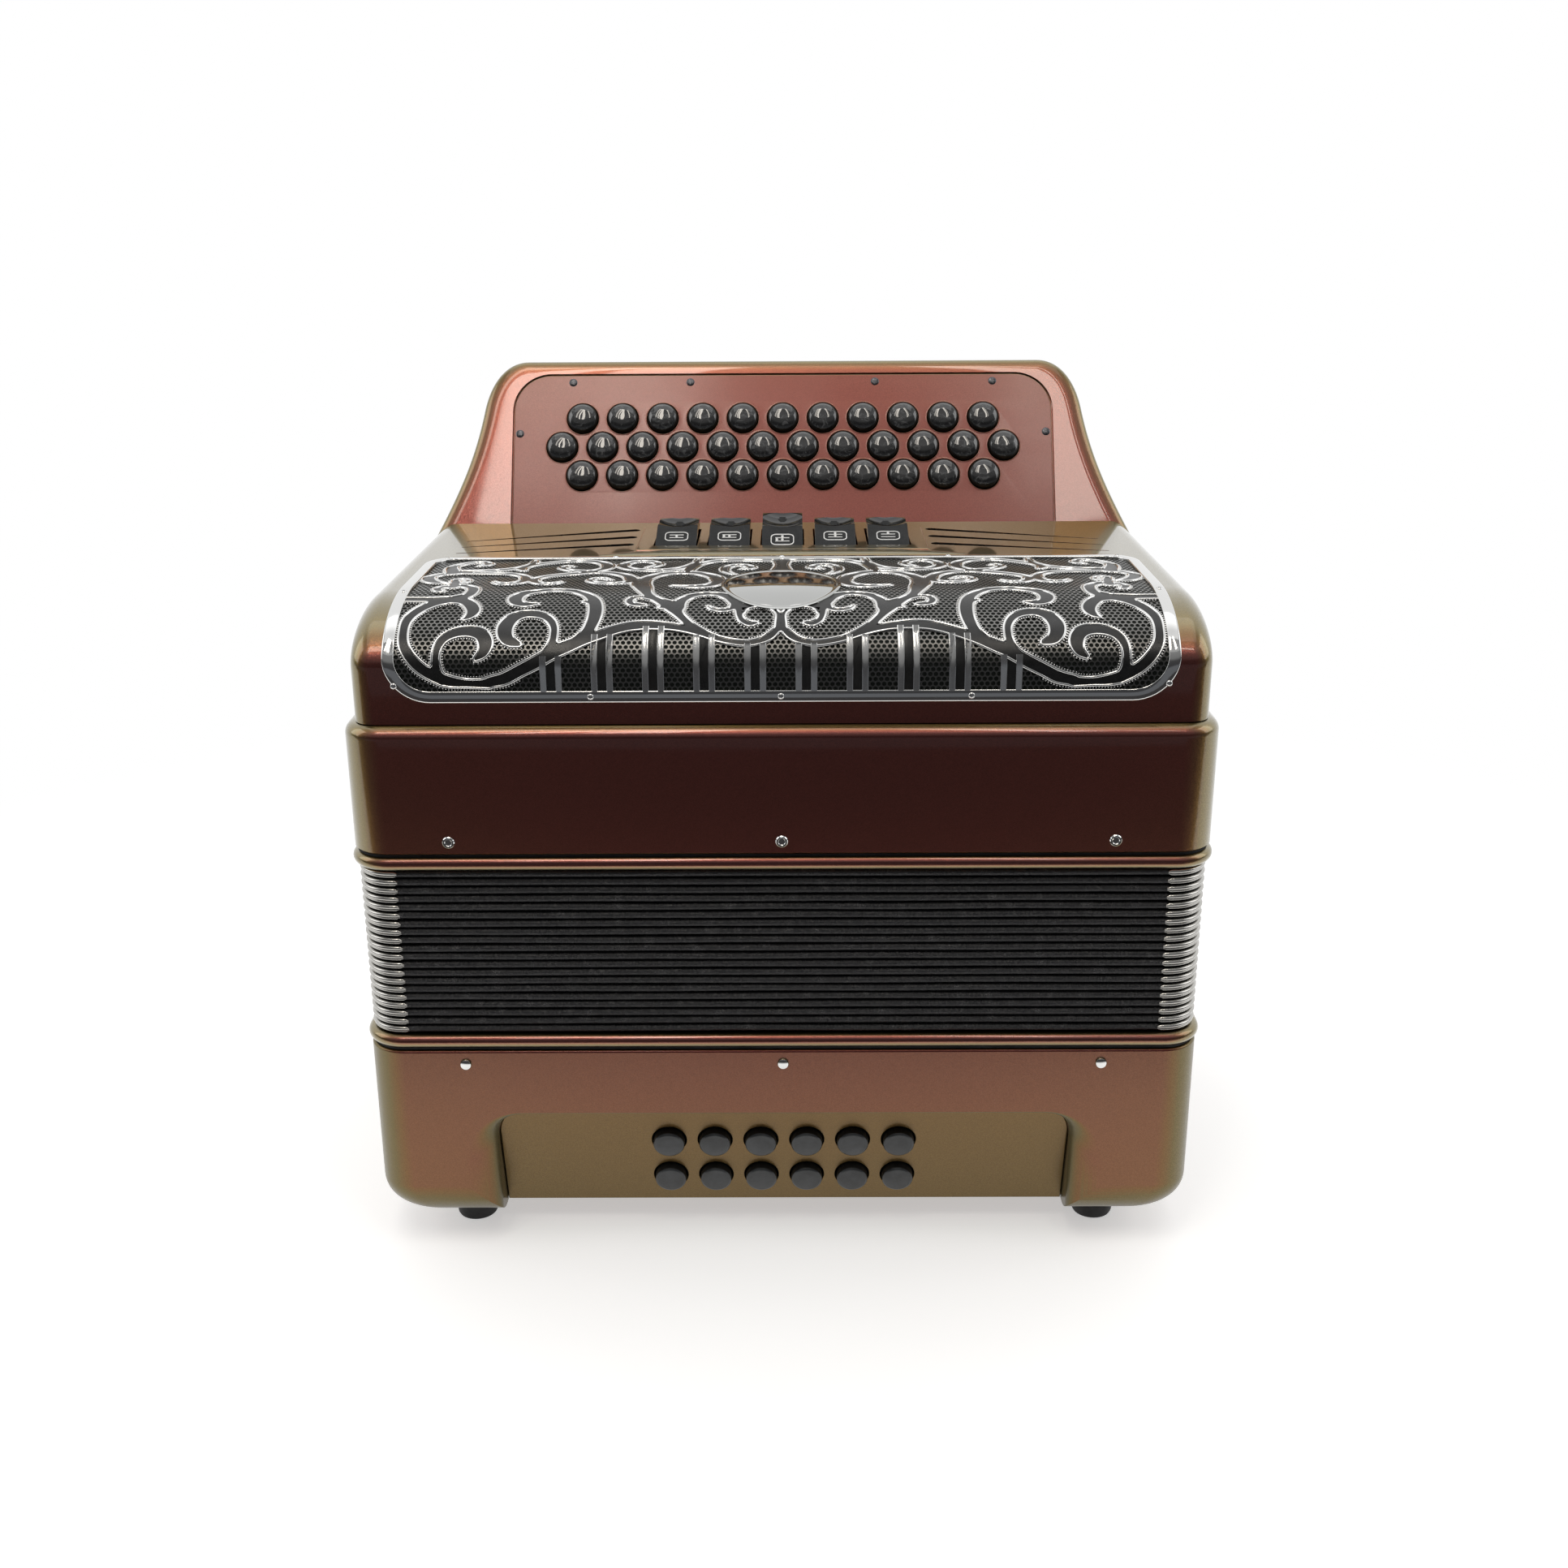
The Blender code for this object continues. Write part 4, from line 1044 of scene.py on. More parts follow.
def grille_edge(inset, run=2.0):
    """The grille's outline drawn in by an inset, with short runs so that it can bend."""
    half = GRILLE_HALF - inset
    low = inset
    high = GRILLE_WAY - inset
    front = max(GRILLE_FRONT_CORNER - inset, 2.0)
    back = max(GRILLE_BACK_CORNER - inset, 2.0)
    bends = [
        arc((half - front, low + front), (front, front), -90, 0, 12),
        arc((half - back, high - back), (back, back), 0, 90, 12),
        arc((-half + back, high - back), (back, back), 90, 180, 12),
        arc((-half + front, low + front), (front, front), 180, 270, 12),
    ]
    straight = [GRILLE_WAY - GRILLE_FRONT_CORNER - GRILLE_BACK_CORNER, 2 * (GRILLE_HALF - GRILLE_BACK_CORNER)]
    straight += [straight[0], 2 * (GRILLE_HALF - GRILLE_FRONT_CORNER)]
    points = []
    for bend, after, length in zip(bends, bends[1:] + bends[:1], straight):
        points += bend
        count = round(length / run)
        start, end = bend[-1], after[0]
        points += [
            (start[0] + (end[0] - start[0]) * k / count, start[1] + (end[1] - start[1]) * k / count)
            for k in range(1, count)
        ]
    return points


def grille_frame():
    """The bright frame: a flat strip with softened edges round the perforated sheet."""
    section = [
        (0.0, 0.3), (0.0, 1.35), (0.12, 1.65), (0.4, 1.85), (0.8, 1.95), (4.5, 1.95), (4.75, 1.8), (4.8, 1.5),
        (4.8, 0.3)
    ]
    rings = [[(x, s, height) for x, s in grille_edge(inset)] for inset, height in section]
    return wrapped(loft(rings, closed=True))


def hole_tile():
    """One flat cell of the perforated sheet: a hexagon with a round hole."""
    points = []
    half = HOLE_PITCH / 2
    for step in range(12):
        angle = math.pi * step / 6
        reach = half / math.cos(math.pi / 6) if step % 2 else half
        points.append((reach * math.cos(angle), reach * math.sin(angle), 0))
    points += [
        (HOLE_RADIUS * math.cos(math.pi * step / 6), HOLE_RADIUS * math.sin(math.pi * step / 6), 0)
        for step in range(12)
    ]
    faces = [(step, (step + 1) % 12, 12 + (step + 1) % 12, 12 + step) for step in range(12)]
    return mesh_of(points, faces)


def hole_places(scroll):
    """Centres of the sheet's cells, row by row, without those hidden under the ornament."""
    places = []
    rise = HOLE_PITCH * math.sqrt(3) / 2
    rows = int((GRILLE_WAY - 6) / rise)
    columns = int(GRILLE_HALF / HOLE_PITCH)
    for row in range(rows):
        s = 3.2 + row * rise
        for column in range(-columns, columns + 1):
            x = (column + 0.5 * (row % 2)) * HOLE_PITCH
            if inside_frame(x, s, 3.4) and scroll(x, s) > -1.6:
                places.append(Matrix.Translation((x, s, 0.95)))
    return places


def inside_frame(x, s, inset):
    """Whether a flat point lies inside the frame's outline drawn in by the inset."""
    half = GRILLE_HALF - inset
    if abs(x) > half or s < inset or s > GRILLE_WAY - inset:
        return False
    corner = (GRILLE_FRONT_CORNER if s < GRILLE_WAY / 2 else GRILLE_BACK_CORNER) - inset
    across = abs(x) - (half - corner)
    along = (inset + corner - s) if s < GRILLE_WAY / 2 else (s - (GRILLE_WAY - inset - corner))
    return across <= 0 or along <= 0 or math.hypot(across, along) <= corner


def cloth_mesh():
    """The dark cloth stretched behind the perforated sheet."""
    rings = []
    for s in np.linspace(CLOTH_INSET, GRILLE_WAY - CLOTH_INSET, 96):
        near = min(s, GRILLE_WAY - s) - CLOTH_INSET
        corner = (GRILLE_FRONT_CORNER if s < GRILLE_WAY / 2 else GRILLE_BACK_CORNER) - CLOTH_INSET
        cut = corner - math.sqrt(corner**2 - max(corner - near, 0.0) ** 2)
        half = GRILLE_HALF - CLOTH_INSET - cut
        rings.append([(-half, s, 0.35), (half, s, 0.35), (half, s, 0.05), (-half, s, 0.05)])
    return wrapped(loft(rings))


def screw_head(radius=1.3, rise=0.75):
    """A small domed screw head with a straight cross in it."""
    profile = [
        (0, -0.6), (radius, -0.6), (radius, 0.05), (radius * 0.93, rise * 0.4), (radius * 0.7, rise * 0.75),
        (radius * 0.35, rise * 0.97), (0, rise)
    ]
    head = turned(profile, 24, Matrix.Identity(4))
    arm, deep = radius * 0.62, rise * 0.35
    bars = [
        block((-arm, -radius * 0.11, deep), (arm, radius * 0.11, 3)),
        block((-radius * 0.11, -arm, deep), (radius * 0.11, arm, 3))
    ]
    return carved(head, *bars)


def on_grille(x, s, height, spin=0.0):
    """A placement on the grille, with Z square to its surface."""
    y, z, ny, nz = [float(np.interp(s, NOSE[:, 0], NOSE[:, k])) for k in (1, 2, 3, 4)]
    out = Vector((0, ny, nz)).normalized()
    across = Vector((1, 0, 0))
    turn = Matrix((across, out.cross(across), out)).transposed().to_4x4()
    return Matrix.Translation(Vector((x, y, z)) + out * height) @ turn @ Matrix.Rotation(spin, 4, "Z")


BAR_TOPS = (23.4, 27.2, 31.7, 27.6, 18.4)


def key_bars(half_width, low, high, corner, shift):
    """Upright bars in pairs beside each slot of the keyboard pattern, with soft edges."""
    meshes = []
    for number, top in enumerate(BAR_TOPS):
        for side in (-1, 1):
            middle = side * (number + 0.5) * KEY_BAR_PITCH
            for off in shift:
                rings = []
                for inset, height in (
                    (0, low), (0, high - corner), (corner * 0.3, high - corner * 0.3), (corner, high)
                ):
                    wide = half_width - inset
                    rings.append(split_box(middle + off, wide, 4.2, top, height))
                meshes.append(loft(rings))
    return wrapped(joined(meshes))


def split_box(x, wide, low, high, height):
    """A long thin rectangle with its sides split, so that it can bend."""
    steps = 14
    up = [low + (high - low) * k / steps for k in range(steps + 1)]
    return [(x + wide, s, height) for s in up] + [(x - wide, s, height) for s in reversed(up)]


def badge_mesh():
    """The plain bright oval in the middle of the grille."""
    x, s, wide, tall = BADGE
    rings = []
    for share, height in (
        (1.03, 0.9), (1.03, 1.9), (1.0, 2.15), (0.965, 1.95), (0.94, 1.75), (0.9, 1.8), (0.7, 2.1), (0.45, 2.3),
        (0.2, 2.4), (0.02, 2.42)
    ):
        rings.append([(x + wide * share * math.cos(a), s + tall * share * math.sin(a), height) for a in turns(96)])
    return wrapped(loft(rings))


# The ornament's left half: black bands as centre points of X and way up, each with half its width
WAVE = [
    (-26, 26.2, 0.6), (-33, 29.5, 1.3), (-40, 31.3, 1.2), (-46, 32.3, 1.5), (-52, 32.7, 1.8), (-58, 32, 1.8),
    (-64, 30.1, 1.7), (-70, 27.6, 1.7), (-76, 25, 1.7), (-82, 22.3, 2), (-88, 19.5, 2), (-94, 16, 2),
    (-100, 12.9, 1.9), (-106, 9.8, 1.9), (-112, 8.4, 1.6)
]
OUTER_C = [
    (-112, 7.8, 1.4), (-120, 7.9, 1.1), (-128, 9, 1.8), (-135, 12, 1.8), (-140.5, 16.5, 1.7),
    (-144.3, 22.5, 1.5), (-145.4, 30, 1.3), (-144.6, 37, 1.6), (-141, 43.5, 1.9), (-136, 48.5, 2.2),
    (-131.5, 51.3, 2.6)
]
SIDE_HOOK = [
    (-130, 51.5, 2.4), (-124.5, 50, 2.2), (-121.3, 46, 2.3), (-120, 42, 2.1), (-121, 38.5, 1.3),
    (-123.3, 36.3, 0.2)
]
SIDE_ARM = [(-131, 52, 2), (-140, 51.8, 1.5), (-149.5, 52, 1.5)]
SIDE_RISE = [
    (-129, 52.5, 2.2), (-124.5, 56, 1.9), (-123.2, 61, 1.8), (-123.8, 65.5, 1.7), (-127.5, 69, 1.5),
    (-131.5, 70, 1.4)
]
INNER_CURL = [
    (-130, 9, 1.5), (-131.6, 13, 1.3), (-132.1, 18, 1), (-131.3, 23, 1.2), (-128.5, 27, 1.5), (-124, 29.3, 1.9),
    (-119, 29.6, 2.2), (-115, 27.8, 2.4), (-113.2, 24, 2.3), (-114, 20, 1.6), (-117, 17.3, 0.3)
]
MIDDLE_CURL = [
    (-91, 17.5, 1.6), (-88.3, 22, 1.3), (-87.3, 27, 1), (-87.6, 32, 1), (-90, 36.7, 1.3), (-94.5, 39.4, 1.6),
    (-100, 39.6, 1.9), (-104.5, 36.3, 2.4), (-106.4, 30.5, 2.6), (-104.8, 25.5, 2.1), (-100.3, 23.2, 0.5)
]
HIGH_CURL = [
    (-79, 24, 1.5), (-75, 28.5, 1.8), (-72.9, 34, 2), (-72.2, 40, 2.2), (-72.6, 46, 2.2), (-74, 51.5, 1.9),
    (-77.5, 56.7, 1.4), (-83, 60.6, 1.1), (-90, 61.9, 1.1), (-97, 60.4, 1.3), (-102.5, 57.4, 1.8),
    (-104.8, 53, 2.3), (-103.8, 48.8, 2), (-100, 46.8, 1.2), (-95.5, 47.6, 0.2)
]
HIGH_SPUR = [(-74.5, 48.5, 1), (-77.8, 49.4, 0.15)]
STEM = [
    (0, 31.5, 1.2), (-1.5, 30, 1), (-4, 27, 1.2), (-8, 24.6, 0.8), (-14, 23.6, 0.7), (-22, 25, 0.7),
    (-28, 27.3, 1), (-33.5, 31, 1.4), (-36.8, 35, 1.2), (-40.1, 40, 1.6), (-42.5, 45, 3), (-47.8, 50, 1.6),
    (-52, 55, 1.5), (-54, 60, 1.9), (-55.5, 66, 2.8), (-56.8, 73, 3), (-56.3, 80, 2.4)
]
STEM_SPUR = [(-44, 45, 1), (-47.8, 43.8, 0.2)]
STEM_CURL = [
    (-50.5, 52.5, 1.5), (-55, 53.3, 0.5), (-58.8, 52.3, 0.9), (-59.6, 49.3, 1), (-58, 46.9, 0.9),
    (-55, 46, 0.6), (-53, 46, 0.2)
]
BADGE_ARC = [
    (-40.5, 44, 2.5), (-39.3, 49.5, 1.8), (-36, 53.8, 1.4), (-31, 56.2, 1.2), (-25.5, 56.2, 1.2),
    (-20.5, 53, 1.8), (-17.6, 48, 2), (-15.5, 46, 1.5), (-11, 45.6, 0.6)
]
BADGE_HOOK = [(-18.3, 45.5, 1), (-19.5, 42.8, 0.7), (-23, 41.8, 0.6), (-26.5, 42.7, 0.4), (-28.5, 45, 0.15)]
LOW_HOOK = [
    (-18, 46, 1.2), (-16.5, 43.3, 1), (-16.2, 39, 0.7), (-14.8, 35.2, 0.9), (-12, 33.2, 0.9), (-9.3, 33.6, 0.3)
]
HEART = [
    (-14.6, 40, 0.1), (-13.5, 43.2, 0.15), (-10, 44.9, 0.15), (-6, 44.8, 0.15), (-2.8, 42.7, 0.3),
    (-0.9, 39, 0.5), (-0.9, 34.9, 0.6), (-1.1, 32.6, 0.6)
]
STEM_RING = [
    (-56.3, 80, 2.4), (-53, 87, 2), (-47.5, 91.8, 1.6), (-40, 93.5, 1.6), (-33, 91, 1.8), (-27.5, 85, 2.2),
    (-25.7, 77, 2), (-27.5, 70.5, 2.2), (-32, 67, 1.8), (-38, 66.8, 1), (-44, 68.3, 0.2)
]
BACK_CURL = [
    (-37, 113, 1), (-40, 106, 1.3), (-44, 101.5, 1.2), (-50, 98.5, 1.2), (-58, 98.8, 1.2), (-64.5, 102.5, 1.5),
    (-67.5, 108.5, 1.6), (-65, 114.5, 1.2), (-60, 117, 1), (-54.5, 115.5, 1), (-52, 111, 1),
    (-54.5, 106.5, 0.8), (-57, 104.5, 0.2)
]
BACK_TIP = [(-37, 108, 1), (-35.8, 121, 0.5)]
BACK_ARC = [
    (-39, 97, 1.2), (-37.5, 104, 1.3), (-34.5, 111.5, 1.1), (-28, 117, 1.2), (-18, 118.5, 1.3), (-8, 118, 1.3),
    (0, 118.5, 1.3)
]
BACK_MIDDLE = [(0, 97, 3.5), (0, 108, 2), (0, 118, 3)]
BACK_EYE = [
    (-19.5, 90, 0.3), (-23, 95.5, 0.8), (-23.8, 102, 1), (-21, 107.2, 1.2), (-16, 107.8, 1.2),
    (-12.7, 104.5, 1.2), (-14, 101, 0.8), (-17, 100.5, 0.2)
]
CORNER_STEM = [(-132.3, 67, 1.5), (-132.4, 72, 1.5), (-132.8, 77, 1.4), (-134, 80.5, 0.8)]
CORNER_BUD = [(-133.5, 80, 0.5), (-131.5, 82.5, 0.4), (-128.6, 81.3, 0.4), (-128, 78, 0.4), (-129.5, 75.5, 0.2)]
CORNER_CURL = [(-133, 69, 1.2), (-136, 67.8, 0.9), (-138, 65, 1.2), (-137, 62, 1), (-134.8, 61.2, 0.2)]
CORNER_C = [
    (-137, 94, 1.8), (-141.5, 91.5, 1.2), (-145, 87.5, 1.5), (-145.2, 83, 2.2), (-143, 78.5, 2.1),
    (-139.5, 75.7, 1.3), (-135.8, 74.3, 0.4)
]
CORNER_LOOP = [
    (-137, 94, 2.2), (-137.8, 97.5, 2.4), (-139, 102, 2.2), (-139.3, 107, 1.4), (-136.5, 112, 1),
    (-131, 115.8, 1), (-126.5, 115.5, 1), (-125.3, 112, 1.2), (-128.5, 108.5, 0.4)
]
LOOP_FLOOR = [
    (-137.5, 96, 1.8), (-132, 97.5, 1.4), (-125, 98.3, 1.2), (-118, 100, 1.2), (-112, 103.5, 1.2),
    (-108, 108.5, 1.3), (-106.3, 113.5, 0.9), (-106, 119, 0.5)
]
LEAF = [(-108, 108, 1.2), (-109.8, 103, 1.4), (-108, 98.5, 0.3)]
HIGH_ARCH = [
    (-108, 108, 1), (-102, 112.5, 1), (-96, 116, 1), (-90, 118, 1.2), (-84, 118, 1.2), (-77.5, 115, 1.5),
    (-73.8, 109.5, 1.9), (-74, 103.5, 1.8), (-77, 99, 1.4), (-80.5, 96, 1.4), (-84, 93, 1.6)
]
ARCH_CURL = [(-82, 97, 0.9), (-88, 98.8, 0.8), (-92.3, 103.5, 1), (-91, 107.5, 0.8), (-88.3, 107, 0.2)]
RING_LEFT = [
    (-136, 95, 1), (-125, 93.8, 1), (-120, 93.3, 0.8), (-113, 92.3, 0.9), (-107, 88.5, 1.2),
    (-104.8, 82.5, 1.6), (-106, 77, 1.6), (-110, 73.5, 1.2), (-114.5, 74, 0.9), (-117, 77, 0.3)
]
RING_RIGHT = [
    (-83.5, 93, 1.6), (-90, 90.5, 1.2), (-96, 87.5, 1), (-100.8, 83, 1.2), (-100.8, 77.5, 1.5), (-97, 73.5, 1),
    (-92.5, 73.5, 0.8), (-89.5, 76.5, 0.3)
]
SPIRAL = [
    (-84, 93, 1.2), (-77, 94.5, 1), (-70, 92.5, 1.2), (-64, 88, 1.8), (-61.2, 81, 2), (-62.3, 75.5, 1.5),
    (-66.5, 73.2, 1), (-72, 73.5, 0.8), (-77.5, 77, 0.7), (-77.5, 81.5, 0.7), (-73, 83, 0.6), (-70, 80, 0.4)
]
BANDS = [
    WAVE, OUTER_C, SIDE_HOOK, SIDE_ARM, SIDE_RISE, INNER_CURL, MIDDLE_CURL, HIGH_CURL, HIGH_SPUR, STEM,
    STEM_SPUR, STEM_CURL, BADGE_ARC, BADGE_HOOK, LOW_HOOK, HEART, STEM_RING, BACK_CURL, BACK_TIP, BACK_ARC,
    BACK_MIDDLE, BACK_EYE, CORNER_STEM, CORNER_BUD, CORNER_CURL, CORNER_C, CORNER_LOOP, LOOP_FLOOR, LEAF,
    HIGH_ARCH, ARCH_CURL, RING_LEFT, RING_RIGHT, SPIRAL,
]
GRID = 0.5
LINE_WIDTH = 1.1


def smooth_line(points, step=0.8):
    """A smooth run of points through the given ones, about one step apart."""
    path = np.array(points, float)
    path = np.vstack([2 * path[0] - path[1], path, 2 * path[-1] - path[-2]])
    run = []
    for before, start, end, after in zip(path, path[1:], path[2:], path[3:]):
        count = max(2, round(float(np.linalg.norm(end[:2] - start[:2])) / step))
        for t in np.arange(count) / count:
            run.append(
                0.5
                * (
                    2 * start
                    + (end - before) * t
                    + (2 * before - 5 * start + 4 * end - after) * t**2
                    + (3 * start - before - 3 * end + after) * t**3
                )
            )
    run.append(path[-2])
    return np.array(run)


def ornament_field():
    """Distance from each point of a flat grid to the edge of the nearest black band."""
    xs = np.arange(-GRILLE_HALF, GRILLE_HALF + GRID / 2, GRID)
    ways = np.arange(0.0, GRILLE_WAY + GRID / 2, GRID)
    field = np.full((len(ways), len(xs)), 9.0)
    for band in BANDS:
        line = smooth_line(band)
        for start, end in zip(line, line[1:]):
            reach = max(start[2], end[2]) + 4
            low = np.minimum(start, end)[:2] - reach
            high = np.maximum(start, end)[:2] + reach
            columns = slice(*np.searchsorted(xs, (low[0], high[0])))
            rows = slice(*np.searchsorted(ways, (low[1], high[1])))
            across = xs[None, columns] - start[0]
            along = ways[rows, None] - start[1]
            span = end[:2] - start[:2]
            share = np.clip((across * span[0] + along * span[1]) / max(float(span @ span), 1e-9), 0, 1)
            far = np.hypot(across - share * span[0], along - share * span[1])
            width = np.maximum(start[2] + share * (end[2] - start[2]), 0.05)
            field[rows, columns] = np.minimum(field[rows, columns], far - width)
    field = np.minimum(field, field[:, ::-1])
    return xs, ways, field


def area_below(xs, ways, field, level):
    """Flat faces over the part of the grid where the field is under a level."""
    inside = field < level
    corners = inside[:-1, :-1].astype(int) + inside[:-1, 1:] + inside[1:, 1:] + inside[1:, :-1]
    index = {}
    points = []
    faces = []

    def corner(row, column):
        key = (row, column, row, column)
        if key not in index:
            index[key] = len(points)
            points.append((xs[column], ways[row]))
        return index[key]

    def crossing(one, other):
        key = min(one, other) + max(one, other)
        if key not in index:
            index[key] = len(points)
            a, b = field[one], field[other]
            share = min(max((level - a) / (b - a), 0.02), 0.98)
            points.append(
                (
                    xs[one[1]] + share * (xs[other[1]] - xs[one[1]]),
                    ways[one[0]] + share * (ways[other[0]] - ways[one[0]]),
                )
            )
        return index[key]

    for row, column in zip(*np.nonzero(corners)):
        loop = [(row, column), (row, column + 1), (row + 1, column + 1), (row + 1, column)]
        face = []
        for here, after in zip(loop, loop[1:] + loop[:1]):
            if inside[here]:
                face.append(corner(*here))
            if inside[here] != inside[after]:
                face.append(crossing(here, after))
        if len(face) > 2:
            faces.append(face)
    return points, faces


def rims(points, faces):
    """Closed loops of points round the outside and the holes of flat faces."""
    edges = {}
    for face in faces:
        for here, after in zip(face, face[1:] + face[:1]):
            edges[(here, after)] = True
    following = {}
    for here, after in edges:
        if (after, here) not in edges:
            following.setdefault(here, []).append(after)
    loops = []
    while following:
        start = next(iter(following))
        loop = [start]
        here = start
        while here in following:
            after = following[here].pop()
            if not following[here]:
                del following[here]
            if after == start:
                break
            loop.append(after)
            here = after
        if len(loop) > 8:
            loops.append(np.array([points[k] for k in loop]))
    return loops


def evened(loop, step):
    """A closed loop smoothed a little and split into equal steps."""
    for _ in range(3):
        loop = 0.25 * np.roll(loop, 1, 0) + 0.5 * loop + 0.25 * np.roll(loop, -1, 0)
    closed = np.vstack([loop, loop[:1]])
    way = np.concatenate([[0], np.cumsum(np.linalg.norm(np.diff(closed, axis=0), axis=1))])
    count = max(8, round(way[-1] / step))
    places = np.linspace(0, way[-1], count, endpoint=False)
    return np.column_stack([np.interp(places, way, closed[:, 0]), np.interp(places, way, closed[:, 1])])


def outward_of(loop):
    """Unit vectors pointing out of the faces that the loop runs round."""
    along = np.roll(loop, -1, 0) - np.roll(loop, 1, 0)
    along /= np.maximum(np.linalg.norm(along, axis=1, keepdims=True), 1e-9)
    return np.column_stack([along[:, 1], -along[:, 0]])


def bright_lines(loops):
    """Rounded bright lines along the loops."""
    half = LINE_WIDTH / 2
    section = [
        (-half, 0.9), (-half, 1.35), (-half * 0.62, 1.72), (0.0, 1.85), (half * 0.62, 1.72), (half, 1.35),
        (half, 0.9)
    ]
    meshes = []
    for loop in loops:
        line = evened(loop, 0.75)
        out = outward_of(line)
        rings = [
            [(x + off * nx, s + off * ns, height) for off, height in section]
            for (x, s), (nx, ns) in zip(line, out)
        ]
        count = len(section)
        points = [point for ring in rings for point in ring]
        faces = []
        for here in range(len(rings)):
            after = (here + 1) % len(rings)
            for k in range(count - 1):
                faces.append((here * count + k, here * count + k + 1, after * count + k + 1, after * count + k))
        meshes.append(mesh_of(points, faces))
    return joined(meshes)


PATTERN_FOOT = [(0, 31.5), (10, 24), (29.5, 28), (49, 32.7), (68.6, 28.4), (88.8, 19.5), (97, 14), (110, 9)]


def tooth_places(loops):
    """Where the small teeth stand outside the bright lines, on the perforated side only."""
    foot_x, foot_s = zip(*PATTERN_FOOT)
    places = []
    for loop in loops:
        line = evened(loop, 1.15)
        for (x, s), (nx, ns) in zip(line, outward_of(line)):
            px, ps = x + nx * 0.85, s + ns * 0.85
            if not inside_frame(px, ps, FRAME_WIDTH):
                continue
            if abs(px) < 100 and ps < np.interp(abs(px), foot_x, foot_s) + 1.2:
                continue
            places.append(Matrix.Translation((px, ps, 1.1)) @ Matrix.Rotation(math.atan2(ns, nx), 4, "Z"))
    return places


# ---------------------------------------------------------------- looks


def new_look(name):
    """A material with its shader, and its node tree."""
    look = bpy.data.materials.new(name)
    look.use_nodes = True
    return look, look.node_tree.nodes["Principled BSDF"], look.node_tree


def node(tree, kind, **values):
    """A node with some of its inputs or settings set."""
    made = tree.nodes.new(kind)
    for key, value in values.items():
        if hasattr(made, key):
            setattr(made, key, value)
        else:
            made.inputs[key.replace("_", " ")].default_value = value
    return made


def shader_group(name, inputs, outputs):
    """A node group with named inputs and outputs; gives its tree, input node and output node."""
    tree = bpy.data.node_groups.new(name, "ShaderNodeTree")
    for label, kind, value in inputs:
        socket = tree.interface.new_socket(label, in_out="INPUT", socket_type=kind)
        if value is not None:
            socket.default_value = value
    for label, kind in outputs:
        tree.interface.new_socket(label, in_out="OUTPUT", socket_type=kind)
    return tree, tree.nodes.new("NodeGroupInput"), tree.nodes.new("NodeGroupOutput")


def flake_group():
    """Fine metallic flakes: each cell leans its own way and is a little lighter or darker."""
    tree, given, result = shader_group(
        "metal_flakes",
        [
            ("Scale", "NodeSocketFloat", 5000.0), ("Lean", "NodeSocketFloat", 0.12),
            ("Contrast", "NodeSocketFloat", 0.2)
        ],
        [("Shade", "NodeSocketFloat"), ("Normal", "NodeSocketVector")],
    )
    where = tree.nodes.new("ShaderNodeTexCoord")
    cells = tree.nodes.new("ShaderNodeTexVoronoi")
    surface = tree.nodes.new("ShaderNodeNewGeometry")
    centred = node(tree, "ShaderNodeVectorMath", operation="SUBTRACT")
    centred.inputs[1].default_value = (0.5, 0.5, 0.5)
    scaled = node(tree, "ShaderNodeVectorMath", operation="SCALE")
    added = node(tree, "ShaderNodeVectorMath", operation="ADD")
    unit = node(tree, "ShaderNodeVectorMath", operation="NORMALIZE")
    split = tree.nodes.new("ShaderNodeSeparateColor")
    shade = node(tree, "ShaderNodeMapRange")
    low = node(tree, "ShaderNodeMath", operation="SUBTRACT")
    low.inputs[0].default_value = 1.0
    link(where, "Object", cells, "Vector")
    link(given, "Scale", cells, "Scale")
    link(cells, "Color", centred, 0)
    link(centred, 0, scaled, 0)
    link(given, "Lean", scaled, "Scale")
    link(scaled, 0, added, 0)
    link(surface, "Normal", added, 1)
    link(added, 0, unit, 0)
    link(cells, "Color", split, 0)
    link(split, 0, shade, "Value")
    link(given, "Contrast", low, 1)
    link(low, 0, shade, "To Min")
    link(shade, "Result", result, "Shade")
    link(unit, 0, result, "Normal")
    return tree


def ripple_group():
    """Slow unevenness in a surface's polish."""
    tree, given, result = shader_group(
        "slow_unevenness",
        [
            ("Scale", "NodeSocketFloat", 40.0), ("Low", "NodeSocketFloat", 0.03),
            ("High", "NodeSocketFloat", 0.08)
        ],
        [("Roughness", "NodeSocketFloat")],
    )
    where = tree.nodes.new("ShaderNodeTexCoord")
    cloud = node(tree, "ShaderNodeTexNoise", Detail=4.0, Roughness=0.55)
    spread = node(tree, "ShaderNodeMapRange", From_Min=0.35, From_Max=0.7)
    link(where, "Object", cloud, "Vector")
    link(given, "Scale", cloud, "Scale")
    link(cloud, "Fac", spread, "Value")
    link(given, "Low", spread, "To Min")
    link(given, "High", spread, "To Max")
    link(spread, "Result", result, "Roughness")
    return tree


